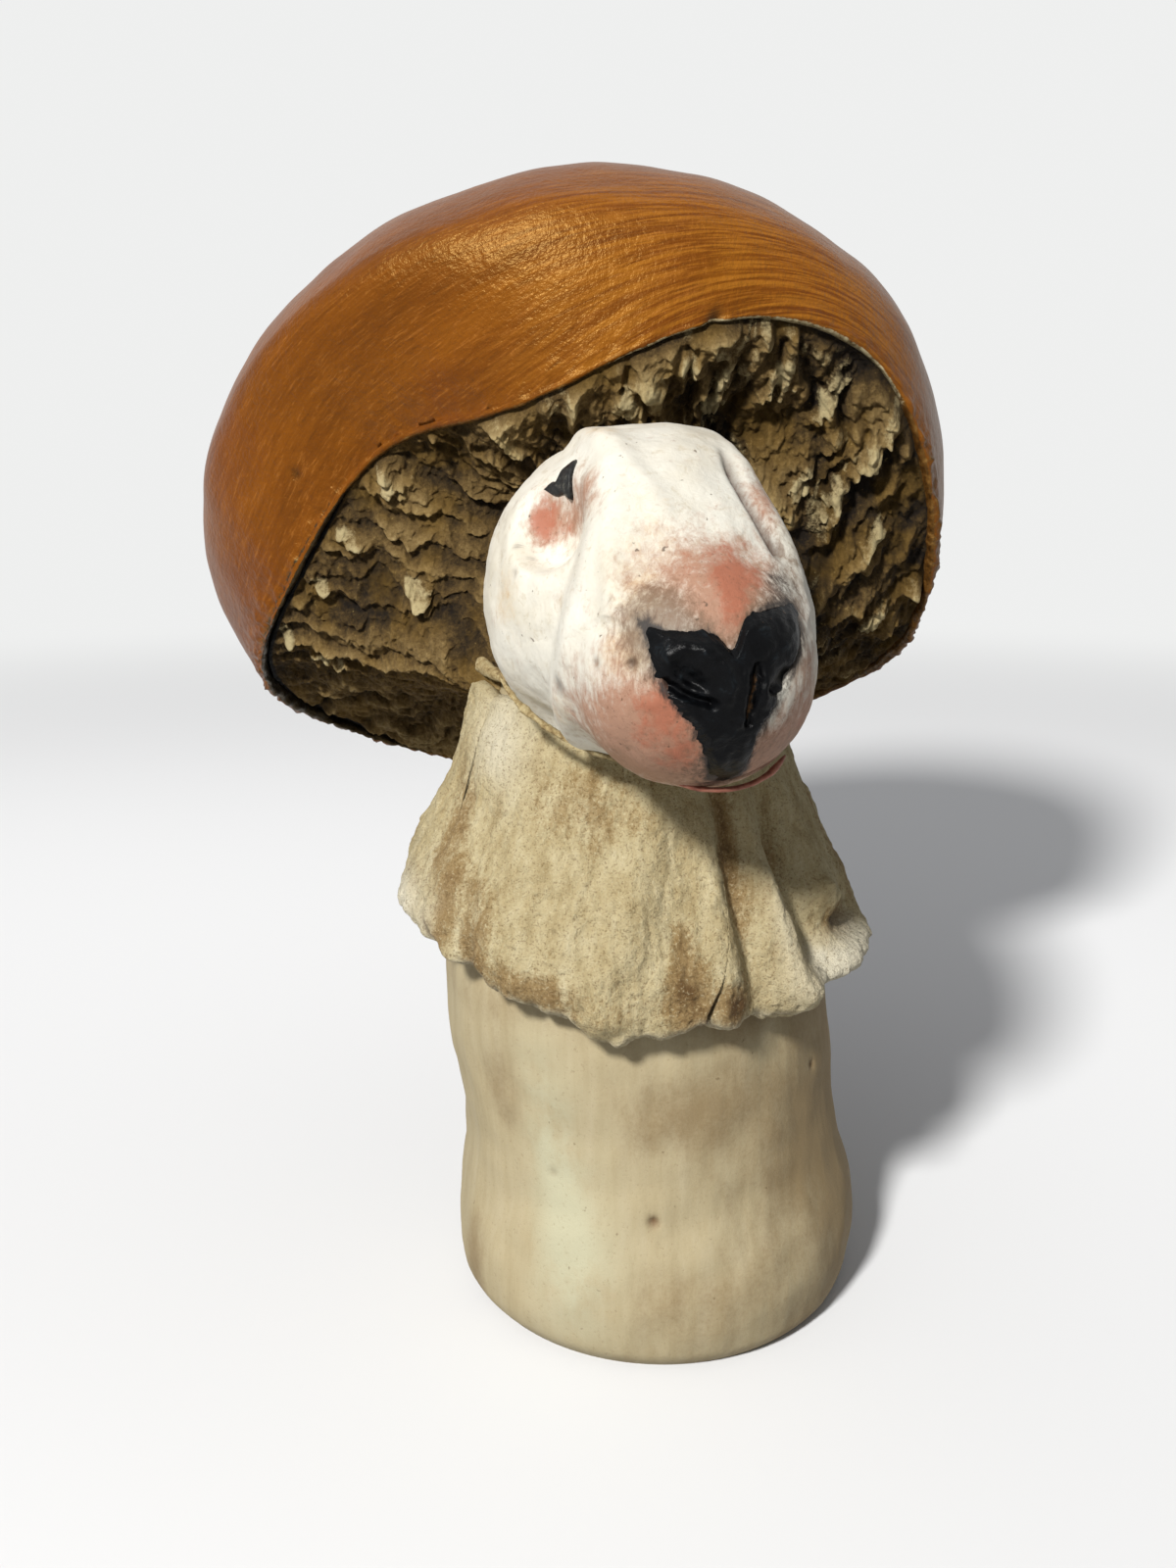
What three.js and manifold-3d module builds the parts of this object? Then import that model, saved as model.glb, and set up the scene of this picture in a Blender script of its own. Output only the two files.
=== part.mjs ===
// A mushroom ornament modelled by hand in clay: a stout stem with a frilled skirt, a cap worn
// tilted back like a hat, and a dog's head that looks out from under the cap.
// Millimetres, +Z up. The dog looks along -Y, and the origin is the middle of the flat foot.
import * as THREE from "three";
import { mergeVertices } from "three/addons/utils/BufferGeometryUtils.js";
import Module from "manifold-3d";

const wasm = await Module();
wasm.setup();

const GAP = 0.3; // clearance left where two pieces seat on each other
const TURN = 2 * Math.PI;

// Stem: [radius, height] from the edge of the flat foot up to the tip of the neck
const STEM_OUTLINE = [
  [26.5, 0],
  [28.2, 2.6],
  [28.8, 8],
  [28.0, 14.5],
  [26.8, 21],
  [26.4, 30],
  [26.6, 39],
  [26.0, 47],
  [23.6, 57],
  [20.4, 69],
  [18.4, 79],
  [17.4, 88],
  [15.4, 98],
  [12.8, 106],
  [8.5, 111.5],
];
const STEM_SIDES = 36;
const STEM_RINGS = 18;
const STEM_LEAN = { x: -4.2, y: 1, from: 12, to: 58 }; // the stem grows a little off the upright
const NECK_BEND = { back: 18, from: 70, to: 112, power: 1.5 }; // the neck bends back into the cap

// Cap: an uneven dome that is tilted back, with a margin curled in under it
const CAP_CENTRE = new THREE.Vector3(-6.5, 29.7, 104.85); // middle of the widest line
const CAP_TILT = THREE.MathUtils.degToRad(47.6);
const CAP_SWING = THREE.MathUtils.degToRad(-11.2);
const CAP_HEIGHT = 31.8; // above the widest line
const CAP_FULLNESS = 0.84; // under 1 gives fuller shoulders than an ellipse has
const CAP_UNDERSIDE = -6; // where the gills are bedded, from the widest line
const LIP_THICKNESS = 2.4;
const LIP_ROUNDING = 0.7;
const CAP_SIDES = 48;
const CAP_RINGS = { underside: 2, curl: 4, dome: 10 };
// Each wave is [lobes, swing in mm, angle of a crest in degrees]; -90 is the raised front
const CAP_RADIUS = { mean: 54.3, waves: [[2, 2.8, -43], [1, 0.6, 52]] };
const RIM_RADIUS = { mean: 46.1, waves: [[1, 6.1, 34], [2, 7, -31], [3, 2.1, 31], [4, 2, 41]] };
const RIM_LEVEL = { mean: -12.9, waves: [[2, 1.5, -81], [4, 4, 42]] };

// Gills: a pad of clay under the cap, torn into radial ridges that run down onto the neck
const GILL_HUB = { x: 6.5, y: -8, radius: 8 };
const GILL_RECESS = 1.6; // depth of the pad's edge inside the rim
const GILL_MARGIN = 0.5; // space between the pad and the lip
const GILL_FALL = { mean: 18.2, front: 11.5, sides: 6.8, power: 1.4 }; // how far it runs down the neck
const GILL_RIDGES = 36;
const GILL_STEPS_PER_RIDGE = 3;
const GILL_RINGS = 6;
const GILL_HEIGHT = 1.7; // crest to furrow at mid length

// Skirt: three slabs pressed round the neck. Azimuth 0 is the front, growing towards +X
const SKIRT_RADII = [20.6, 21.6, 22.9, 24.4, 27, 29.3, 30.6, 30.9]; // top edge to hem
const SKIRT_UNDERCUT = { out: 2.2, up: 1.2 }; // the hem stands off the stem
const SKIRT_CREST = 0.8; // rounding of the top edge
const SKIRT_ROWS = 8;
const SKIRT_STEP = 7; // degrees between sections
const SKIRT_SCARF = 4; // degrees by which the lapped ends are pared
const SKIRT_TOP = { front: 83, side: 88, back: 78 };
// [azimuth, hem height] along each slab
const SKIRT_SLABS = {
  skirt_front: [[-66, 53.4], [-50, 51.6], [-33, 49.4], [-15, 47.1], [4, 48.4]],
  skirt_right: [[4, 48.6], [20, 48.3], [38, 50.4], [60, 52], [82, 53.5]],
  skirt_back: [[82, 52.5], [120, 50], [165, 53], [215, 49.5], [265, 54.5], [294, 55]],
};
// [azimuth, half width in degrees, swell in mm, how far down the slab it is strongest]
const SKIRT_FOLDS = [
  [-76, 12, 1.1, 0.95],
  [-61, 6, -0.9, 0.9],
  [-33, 9, 0.7, 0.8],
  [-5, 8, 0.9, 0.95],
  [12, 6, -1.1, 0.8],
  [38, 8, -1.8, 0.6],
  [30, 8, 1.7, 1],
  [56, 9, -1.5, 0.85],
  [112, 9, 1.6, 0.85],
  [140, 6, -1.2, 0.85],
  [176, 12, 1.4, 0.85],
  [212, 6, -1.3, 0.8],
  [240, 9, 1.5, 0.9],
];

// Head, measured from the mid plane of the face
const HEAD_X = -7;
const HEAD_CORE = new THREE.Vector3(0, -22, 97); // every part of the skin is in sight of this point
const SKULL = { centre: [0, -11, 99], radii: [18, 17, 18.3] };
const JOWL = { centre: [0, -19, 95.5], radii: [18.3, 20, 16.3] };
const MUZZLE = { root: [0, -20, 101], tip: [0, -34.4, 92.2], rootRadius: 15.5, tipRadius: 13 };
// The bridge of the nose is flat across, between two ridges that part on their way down
const BRIDGE = { arc: [-14, 90, 27.2], narrow: 7.7, wide: 10.5, top: 114, foot: 103, end: 99 };
const EYE_HOLLOW = { x: 15.6, y: -24, z: 109.6, radii: [5, 7, 7.4] };
const BLEND = { cheeks: 6, ridge: 1.6, bridge: 3, hollow: 1.6 };
const HEAD_SIDES = 40;
const HEAD_RINGS = 26;
const HEAD_REACH = 45; // farther out than any of the skin

// Nose pad as seen from the front: [across, height], with its notch between the two lobes
const NOSE_OUTLINE = [
  [-8.1, 97.6],
  [-5.4, 96.9],
  [-2.4, 96.9],
  [-0.4, 95.2],
  [1.4, 98.2],
  [4.6, 99.3],
  [7.6, 98.8],
  [7.7, 95.2],
  [4.8, 90],
  [3.0, 86.8],
  [2.4, 81.9],
  [-0.5, 81.9],
  [-3.3, 86.8],
  [-7.2, 92],
];
const NOSE_CENTRE = new THREE.Vector2(0, 91);
const NOSE_STEPS = 36; // points round the outline
const NOSE_REACH = { from: -33, length: 20 }; // where its prism starts, and how far it runs forward
const NOSE_PROUD = 0.9;
const NOSE_DEPTH = 1.5;
const NOSTRILS = [[-3.4, 92], [4.6, 92.4]];
const NOSTRIL = { y: -47.6, radii: [1.5, 2.2, 1.2], sides: 10 };
const EYE = { x: 11.2, y: -19.6, z: 110.8, radii: [1.9, 2.4, 2.3], sides: 10 };
const LIP = { centre: [3.2, -35.6, 80.9], radii: [6.8, 5.4, 2], sides: 16 };

// Small clay rolls: one closes the joint of gills and neck, one lies along the jaw
const NECK_ROLL = { radius: 1.5, from: -62, to: -296, guides: 12, sides: 7, steps: 30 };
const JAW_ROLL = { radius: 0.95, sides: 6, steps: 24 };
const JAW_ROLL_PATH = [
  [-17.6, -13.2, 88.6],
  [-16.4, -16.6, 84.8],
  [-13, -20.4, 81.8],
  [-8.4, -23.6, 79.2],
  [-3, -25.2, 77.6],
  [3, -25, 77.6],
  [8.6, -22.8, 79.2],
  [13, -19, 81.8],
];

// Wooden dowels inside, which carry the cap and the head
const CAP_DOWEL = { from: [-4.4, 1.6, 62], to: [-5.4, 25.5, 117], radius: 3 };
const HEAD_PEG = { from: [-5.6, 6, 98.5], to: [-7, -31, 95.5], radius: 2 };
const DOWEL_CHAMFER = 0.6;
const DOWEL_SIDES = 16;

const clay = (color, roughness) =>
  new THREE.MeshStandardMaterial({ color, roughness, metalness: 0 });
const MATERIALS = {
  stem: clay(0xc9c0a2, 0.75),
  skirt: clay(0xcdbd98, 0.85),
  cap: clay(0x95591f, 0.4),
  gills: clay(0x6b5a38, 0.95),
  head: clay(0xe8dfd0, 0.65),
  nose: clay(0x16181b, 0.3),
  lip: clay(0xd98a78, 0.5),
  eye: clay(0x1d1d1d, 0.4),
  wood: clay(0xc8a46c, 0.7),
};

const smoothStep = (x) => THREE.MathUtils.smoothstep(x, 0, 1);
const lerp = THREE.MathUtils.lerp;

// Value of a mean with its waves at an angle in radians
function waveAt({ mean, waves }, angle) {
  const lift = ([lobes, swing, crest]) =>
    swing * Math.cos(lobes * (angle - THREE.MathUtils.degToRad(crest)));
  return waves.reduce((sum, wave) => sum + lift(wave), mean);
}

// Smooth value at a fraction of the way along a list of evenly spaced numbers
function alongList(values, fraction) {
  const points = values.map((value, i) => new THREE.Vector2(i, value));
  return new THREE.SplineCurve(points).getPoint(fraction).y;
}

// A geometry with its seams merged, as a solid
function solidOf(geometry) {
  const bare = new THREE.BufferGeometry();
  bare.setAttribute("position", geometry.getAttribute("position"));
  if (geometry.index) bare.setIndex(geometry.index);
  const merged = mergeVertices(bare, 1e-4);
  return new wasm.Manifold(
    new wasm.Mesh({
      numProp: 3,
      vertProperties: new Float32Array(merged.attributes.position.array),
      triVerts: new Uint32Array(merged.index.array),
    }),
  );
}

// The solid's largest body: cutting can leave loose crumbs behind
function mainBody(solid) {
  const bodies = solid.decompose();
  return bodies.reduce((best, body) => (body.volume() > best.volume() ? body : best));
}

const cut = (solid, ...tools) =>
  mainBody(tools.reduce((left, tool) => left.subtract(tool), solid));

const moved = (solid, matrix) => solid.transform(matrix.elements);

// A closed surface through rings of points. Capped rings end in a fan; others close on themselves
function loft(rings, capped) {
  const sides = rings[0].length;
  const points = rings.flat();
  const triangles = [];
  const at = (ring, side) => ring * sides + (side % sides);
  const last = capped ? rings.length - 1 : rings.length;
  for (let i = 0; i < last; i++) {
    const next = (i + 1) % rings.length;
    for (let j = 0; j < sides; j++) {
      triangles.push(at(i, j), at(i, j + 1), at(next, j + 1));
      triangles.push(at(i, j), at(next, j + 1), at(next, j));
    }
  }
  if (capped) {
    const middle = (ring) =>
      ring.reduce((sum, p) => sum.add(p), new THREE.Vector3()).divideScalar(sides);
    const low = points.push(middle(rings[0])) - 1;
    const high = points.push(middle(rings[rings.length - 1])) - 1;
    for (let j = 0; j < sides; j++) {
      triangles.push(low, at(0, j + 1), at(0, j));
      triangles.push(high, at(rings.length - 1, j), at(rings.length - 1, j + 1));
    }
  }
  const geometry = new THREE.BufferGeometry().setFromPoints(points);
  geometry.setIndex(triangles);
  const solid = solidOf(geometry);
  return solid.volume() < 0 ? loft(rings.map((ring) => [...ring].reverse()), capped) : solid;
}

const ringOf = (sides, pointAt) =>
  Array.from({ length: sides }, (_, j) => pointAt((j / sides) * TURN));

// Where the stem's axis is at a height
function stemAxis(height) {
  const lean = smoothStep((height - STEM_LEAN.from) / (STEM_LEAN.to - STEM_LEAN.from));
  const bent = Math.max(0, (height - NECK_BEND.from) / (NECK_BEND.to - NECK_BEND.from));
  const x = STEM_LEAN.x * lean;
  const y = STEM_LEAN.y * lean + NECK_BEND.back * bent ** NECK_BEND.power;
  return new THREE.Vector2(x, y);
}

const stemOutline = new THREE.SplineCurve(STEM_OUTLINE.map((p) => new THREE.Vector2(...p)));

// The point of a curve where a rising coordinate reaches a value, found by halving
function pointWhere(curve, coordinate, value) {
  let low = 0;
  let high = 1;
  for (let i = 0; i < 20; i++) {
    const middle = (low + high) / 2;
    if (curve.getPoint(middle)[coordinate] < value) low = middle;
    else high = middle;
  }
  return curve.getPoint(low);
}

const stemRadius = (height) => pointWhere(stemOutline, "y", height).x;

// A point at a radius about the stem's axis. Azimuth 0 is the front, growing towards +X
function aroundStem(degrees, radius, height) {
  const axis = stemAxis(height);
  const angle = THREE.MathUtils.degToRad(degrees);
  const x = axis.x + radius * Math.sin(angle);
  const y = axis.y - radius * Math.cos(angle);
  return new THREE.Vector3(x, y, height);
}

function stemSolid(grow) {
  const rings = [];
  for (let i = 0; i <= STEM_RINGS; i++) {
    const { x: radius, y: height } = stemOutline.getPoint(i / STEM_RINGS);
    const axis = stemAxis(height);
    const level = i === STEM_RINGS ? height + grow : height;
    const pointAt = (angle) =>
      new THREE.Vector3(
        axis.x + (radius + grow) * Math.cos(angle),
        axis.y + (radius + grow) * Math.sin(angle),
        level,
      );
    rings.push(ringOf(STEM_SIDES, pointAt));
  }
  return loft(rings, true);
}

// One swell or groove of the skirt, strongest near its own height
function foldAt([azimuth, halfWidth, swell, strongest], degrees, fraction) {
  const away = ((degrees - azimuth + 540) % 360) - 180;
  const across = Math.exp(-((away / halfWidth) ** 2));
  const down = smoothStep(fraction / strongest);
  return swell * across * down;
}

function skirtTop(degrees) {
  const forward = Math.cos(THREE.MathUtils.degToRad(degrees));
  const end = forward > 0 ? SKIRT_TOP.front : SKIRT_TOP.back;
  return lerp(SKIRT_TOP.side, end, smoothStep(Math.abs(forward)));
}

// Closed section of the skirt at an azimuth: down the outside, round the hem and up the inside
function skirtSection(degrees, hem, grow) {
  const top = skirtTop(degrees);
  const rows = Array.from({ length: SKIRT_ROWS }, (_, row) => {
    const fraction = row / (SKIRT_ROWS - 1);
    const folds = SKIRT_FOLDS.reduce((sum, fold) => sum + foldAt(fold, degrees, fraction), 0);
    const height = lerp(top, hem, fraction);
    const outer = alongList(SKIRT_RADII, fraction) + folds + grow;
    return { outer, inner: stemRadius(height) + GAP - grow, height };
  });
  const edge = rows[0];
  const hemRow = rows[SKIRT_ROWS - 1];
  const crest = [(edge.outer + edge.inner) / 2, top + SKIRT_CREST + grow];
  const outside = rows.map(({ outer, height }) => [outer, height]);
  const underHem = [hemRow.inner + SKIRT_UNDERCUT.out, hem];
  const inside = rows.map(({ inner, height }) => [inner, height]).reverse();
  inside[0][1] += SKIRT_UNDERCUT.up;
  return [crest, ...outside, underHem, ...inside].map(([radius, height]) => {
    const pared = SKIRT_SCARF * ((radius - hemRow.inner) / (hemRow.outer - hemRow.inner) - 1);
    return aroundStem(degrees + pared, radius, height);
  });
}

// A slab between its two lapped ends
function skirtSlab(hems, grow) {
  const [first, last] = [hems[0][0], hems[hems.length - 1][0]];
  const inset = THREE.MathUtils.radToDeg((GAP / 2 - grow) / SKIRT_RADII[0]);
  const count = Math.round((last - first) / SKIRT_STEP);
  const hemLine = new THREE.SplineCurve(hems.map((p) => new THREE.Vector2(...p)));
  const sections = [];
  for (let i = 0; i <= count; i++) {
    const degrees = lerp(first + inset, last - inset, i / count);
    const hem = pointWhere(hemLine, "x", degrees).y;
    sections.push(skirtSection(degrees, hem, grow));
  }
  return loft(sections, true);
}

// Cap, in its own frame: +Z out of the crown, -Y to the raised front
function capSolid() {
  const rings = [];
  const addRing = (radiusAt, levelAt) => {
    const pointAt = (angle) => {
      const radius = radiusAt(angle);
      return new THREE.Vector3(radius * Math.cos(angle), radius * Math.sin(angle), levelAt(angle));
    };
    rings.push(ringOf(CAP_SIDES, pointAt));
  };
  const widest = (angle) => waveAt(CAP_RADIUS, angle);
  const rim = (angle) => waveAt(RIM_RADIUS, angle);
  const level = (angle) => waveAt(RIM_LEVEL, angle);
  for (let i = 1; i <= CAP_RINGS.underside; i++) {
    const share = i / CAP_RINGS.underside;
    addRing((angle) => (rim(angle) - LIP_THICKNESS) * share, () => CAP_UNDERSIDE);
  }
  addRing(
    (angle) => rim(angle) - LIP_THICKNESS + LIP_ROUNDING / 2,
    (angle) => level(angle) + LIP_ROUNDING,
  );
  addRing((angle) => rim(angle) - LIP_THICKNESS / 2, (angle) => level(angle) - LIP_ROUNDING / 3);
  for (let i = 0; i < CAP_RINGS.curl; i++) {
    const share = i / CAP_RINGS.curl;
    const out = Math.sin((share * Math.PI) / 2);
    addRing(
      (angle) => lerp(rim(angle), widest(angle), out),
      (angle) => (level(angle) + (i === 0 ? LIP_ROUNDING / 2 : 0)) * (1 - share),
    );
  }
  for (let i = 0; i < CAP_RINGS.dome; i++) {
    const rise = (i / CAP_RINGS.dome) * (Math.PI / 2);
    const share = Math.cos(rise) ** CAP_FULLNESS;
    addRing((angle) => widest(angle) * share, () => CAP_HEIGHT * Math.sin(rise));
  }
  addRing((angle) => widest(angle) * 0.04, () => CAP_HEIGHT);
  return loft(rings, true);
}

// Ridge height from 0 in a furrow to 1 on a crest. Ridges wander, and vary in strength
function ridgeAt(angle, share) {
  const wander = 0.05 * Math.sin(3 * angle + 1) + 0.035 * Math.sin(7 * angle + 5 * share);
  const phase = GILL_RIDGES * (angle + wander);
  const crest = 1 - Math.abs(Math.sin(phase / 2));
  const strength = 0.75 + 0.25 * Math.sin(5 * angle + 9 * share) * Math.cos(11 * angle + 2);
  return crest * strength;
}

// Gill pad in the cap's frame: a ring whose lower face falls from the rim to the neck
function gillSolid() {
  const sides = GILL_RIDGES * GILL_STEPS_PER_RIDGE;
  const inner = (angle) =>
    new THREE.Vector2(
      GILL_HUB.x + GILL_HUB.radius * Math.cos(angle),
      GILL_HUB.y + GILL_HUB.radius * Math.sin(angle),
    );
  const outer = (angle) => {
    const radius = waveAt(RIM_RADIUS, angle) - LIP_THICKNESS - GILL_MARGIN;
    return new THREE.Vector2(radius * Math.cos(angle), radius * Math.sin(angle));
  };
  const fallAt = (angle) =>
    GILL_FALL.mean + GILL_FALL.front * Math.sin(angle) + GILL_FALL.sides * Math.cos(2 * angle);
  const pointAt = (angle, share, levelAt) => {
    const flat = inner(angle).lerp(outer(angle), share);
    return new THREE.Vector3(flat.x, flat.y, levelAt(angle, share));
  };
  const lower = (angle, share) => {
    const edge = waveAt(RIM_LEVEL, angle) + GILL_RECESS;
    const fall = fallAt(angle) * (1 - share) ** GILL_FALL.power;
    const ridge = GILL_HEIGHT * ridgeAt(angle, share) * (0.45 + 0.55 * Math.sin(Math.PI * share));
    return edge - fall - ridge;
  };
  const upper = () => CAP_UNDERSIDE - GAP;
  const rings = [];
  for (let i = 0; i <= GILL_RINGS; i++) {
    const share = i / GILL_RINGS;
    rings.push(ringOf(sides, (angle) => pointAt(angle, share, lower)));
  }
  rings.push(ringOf(sides, (angle) => pointAt(angle, 1, upper)));
  rings.push(ringOf(sides, (angle) => pointAt(angle, 0, upper)));
  return loft(rings, false);
}

// Signed distance to an ellipsoid, close to true near its skin
function ellipsoidDistance(point, { centre, radii }) {
  const offset = point.map((value, i) => value - centre[i]);
  const scaled = Math.hypot(...offset.map((value, i) => value / radii[i]));
  const slope = Math.hypot(...offset.map((value, i) => value / radii[i] ** 2));
  return scaled < 1e-6 ? -Math.min(...radii) : (scaled * (scaled - 1)) / slope;
}

function muzzleDistance(point, { root, tip, rootRadius, tipRadius }) {
  const axis = tip.map((value, i) => value - root[i]);
  const offset = point.map((value, i) => value - root[i]);
  const dot = axis.reduce((sum, value, i) => sum + value * offset[i], 0);
  const share = THREE.MathUtils.clamp(dot / axis.reduce((sum, value) => sum + value ** 2, 0), 0, 1);
  const away = Math.hypot(...offset.map((value, i) => value - axis[i] * share));
  return away - lerp(rootRadius, tipRadius, share);
}

// Distance to the bridge: a slab that widens downwards, with its front face on a long arc
function bridgeDistance([x, y, z], { arc: [arcY, arcZ, radius], narrow, wide, top, foot, end }) {
  const beside = Math.abs(x) - lerp(narrow, wide, smoothStep((top - z) / (top - foot)));
  const before = Math.hypot(y - arcY, z - arcZ) - radius;
  const beyond = Math.max(end - z, y - arcY);
  return Math.max(beyond, -smoothUnion(-beside, -before, BLEND.ridge));
}

// Smooth union of two distances over a blending width
function smoothUnion(a, b, width) {
  const mix = THREE.MathUtils.clamp(0.5 + (0.5 * (b - a)) / width, 0, 1);
  return lerp(b, a, mix) - width * mix * (1 - mix);
}

function headDistance(point) {
  const cheeks = smoothUnion(
    ellipsoidDistance(point, SKULL),
    ellipsoidDistance(point, JOWL),
    BLEND.cheeks,
  );
  const face = smoothUnion(cheeks, muzzleDistance(point, MUZZLE), BLEND.bridge);
  const whole = smoothUnion(face, bridgeDistance(point, BRIDGE), BLEND.bridge);
  const mirrored = [Math.abs(point[0]), point[1], point[2]];
  const { x, y, z, radii } = EYE_HOLLOW;
  const hollow = ellipsoidDistance(mirrored, { centre: [x, y, z], radii });
  return -smoothUnion(-whole, hollow, BLEND.hollow);
}

// Distance from the head's core to its skin along a direction
function headReach(direction, grow) {
  const depthAt = (reach) => {
    const point = HEAD_CORE.clone().addScaledVector(direction, reach);
    return headDistance(point.toArray()) - grow;
  };
  let outside = HEAD_REACH;
  while (depthAt(outside - 0.5) > 0) outside -= 0.5;
  let inside = outside - 0.5;
  for (let i = 0; i < 16; i++) {
    const middle = (inside + outside) / 2;
    if (depthAt(middle) > 0) outside = middle;
    else inside = middle;
  }
  return inside;
}

function headSolid(grow) {
  const sphere = new THREE.SphereGeometry(1, HEAD_SIDES, HEAD_RINGS);
  sphere.rotateX(-Math.PI / 2); // the fine poles go to the nose and the nape
  const position = sphere.getAttribute("position");
  const direction = new THREE.Vector3();
  for (let i = 0; i < position.count; i++) {
    direction.fromBufferAttribute(position, i).normalize();
    const skin = HEAD_CORE.clone().addScaledVector(direction, headReach(direction, grow));
    position.setXYZ(i, skin.x + HEAD_X, skin.y, skin.z);
  }
  return solidOf(sphere);
}

function ellipsoidSolid([x, y, z], radii, sides) {
  const ball = new THREE.SphereGeometry(1, sides, Math.round(sides / 2));
  ball.scale(...radii);
  ball.translate(x + HEAD_X, y, z);
  return solidOf(ball);
}

function eyeSolid(side, grow) {
  const { x, y, z, radii, sides } = EYE;
  const grown = radii.map((radius) => radius + grow);
  return ellipsoidSolid([side * x, y, z], grown, sides);
}

// Prism of the nose outline, widened by a margin, running along Y through the muzzle's end
function nosePrism(margin) {
  const points = NOSE_OUTLINE.map((p) => new THREE.Vector2(...p));
  const curve = new THREE.SplineCurve([...points, points[0].clone()]);
  const outline = curve.getPoints(NOSE_STEPS).slice(0, -1);
  const widened = outline.map((p) => {
    const away = p.clone().sub(NOSE_CENTRE);
    return away.setLength(away.length() + margin).add(NOSE_CENTRE);
  });
  const prism = new THREE.ExtrudeGeometry(new THREE.Shape(widened), {
    depth: NOSE_REACH.length,
    bevelEnabled: false,
  });
  prism.rotateX(Math.PI / 2);
  prism.translate(HEAD_X, NOSE_REACH.from, 0);
  return solidOf(prism);
}

// A tube along a curve, tapered to its ends
function roll(curve, radius, sides, steps) {
  const frames = curve.computeFrenetFrames(steps, false);
  const rings = [];
  for (let i = 0; i <= steps; i++) {
    const share = i / steps;
    const centre = curve.getPointAt(share);
    const taper = Math.min(1, Math.sqrt(8 * Math.min(share, 1 - share)) + 0.4);
    const pointAt = (angle) =>
      centre
        .clone()
        .addScaledVector(frames.normals[i], radius * taper * Math.cos(angle))
        .addScaledVector(frames.binormals[i], radius * taper * Math.sin(angle));
    rings.push(ringOf(sides, pointAt));
  }
  return loft(rings, true);
}

function neckRoll(grow) {
  const { radius, from, to, guides, sides, steps } = NECK_ROLL;
  const points = Array.from({ length: guides + 1 }, (_, i) => {
    const degrees = lerp(from, to, i / guides);
    const height = skirtTop(degrees) + SKIRT_CREST + radius + GAP;
    return aroundStem(degrees, stemRadius(height) + radius + GAP, height);
  });
  return roll(new THREE.CatmullRomCurve3(points), radius + grow, sides, steps);
}

function jawRoll(grow) {
  const points = JAW_ROLL_PATH.map(([x, y, z]) => new THREE.Vector3(x + HEAD_X, y, z));
  const { radius, sides, steps } = JAW_ROLL;
  return roll(new THREE.CatmullRomCurve3(points), radius + grow, sides, steps);
}

// A dowel between two points, with chamfered ends
function dowel({ from, to, radius }, grow) {
  const start = new THREE.Vector3(...from);
  const run = new THREE.Vector3(...to).sub(start);
  const length = run.length();
  const wide = radius + grow;
  const profile = [
    new THREE.Vector2(0, -grow),
    new THREE.Vector2(wide - DOWEL_CHAMFER, -grow),
    new THREE.Vector2(wide, DOWEL_CHAMFER - grow),
    new THREE.Vector2(wide, length - DOWEL_CHAMFER + grow),
    new THREE.Vector2(wide - DOWEL_CHAMFER, length + grow),
    new THREE.Vector2(0, length + grow),
  ];
  const turned = new THREE.LatheGeometry(profile, DOWEL_SIDES);
  turned.applyQuaternion(
    new THREE.Quaternion().setFromUnitVectors(new THREE.Vector3(0, 1, 0), run.normalize()),
  );
  turned.translate(start.x, start.y, start.z);
  return solidOf(turned);
}

const ornament = new THREE.Group();
const capGroup = new THREE.Group();
capGroup.position.copy(CAP_CENTRE);
capGroup.rotation.set(-CAP_TILT, 0, CAP_SWING, "ZXY");
const headGroup = new THREE.Group();
headGroup.position.set(HEAD_X, HEAD_CORE.y, HEAD_CORE.z);
ornament.add(capGroup, headGroup);
ornament.updateMatrixWorld(true);

// Adds a solid, given in the ornament's frame, to a group as a named mesh
function add(name, solid, material, group = ornament) {
  const local = moved(solid, group.matrixWorld.clone().invert());
  const { vertProperties, triVerts } = local.getMesh();
  const geometry = new THREE.BufferGeometry();
  geometry.setAttribute("position", new THREE.BufferAttribute(vertProperties, 3));
  geometry.setIndex(new THREE.BufferAttribute(triVerts, 1));
  geometry.computeVertexNormals();
  const mesh = new THREE.Mesh(geometry, material);
  mesh.name = name;
  group.add(mesh);
}

const capDowel = dowel(CAP_DOWEL, 0);
const capBore = dowel(CAP_DOWEL, GAP);
const headPeg = dowel(HEAD_PEG, 0);
const pegBore = dowel(HEAD_PEG, GAP);
const stemSeat = stemSolid(GAP);
const headSeat = headSolid(GAP);
const noseSeat = nosePrism(GAP).subtract(headSolid(-NOSE_DEPTH - GAP));
const [leftEye, rightEye] = [-1, 1].map((side) => eyeSolid(side, 0));
const eyeSeats = [-1, 1].map((side) => eyeSolid(side, GAP));
const neckRollSeat = neckRoll(GAP);
const jawRollSeat = jawRoll(GAP);

add("stem", cut(stemSolid(0), capBore, pegBore), MATERIALS.stem);
add("cap_dowel", capDowel, MATERIALS.wood);
add("head_peg", cut(headPeg, capBore), MATERIALS.wood);

// Each slab is pressed on against the ones before it
const skirtSeats = [];
for (const [name, hems] of Object.entries(SKIRT_SLABS)) {
  add(name, cut(skirtSlab(hems, 0), headSeat, jawRollSeat, ...skirtSeats), MATERIALS.skirt);
  skirtSeats.push(skirtSlab(hems, GAP));
}

add("jaw_roll", cut(jawRoll(0), headSeat, stemSeat), MATERIALS.skirt);
add("neck_roll", cut(neckRoll(0), headSeat, ...skirtSeats), MATERIALS.gills);

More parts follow.
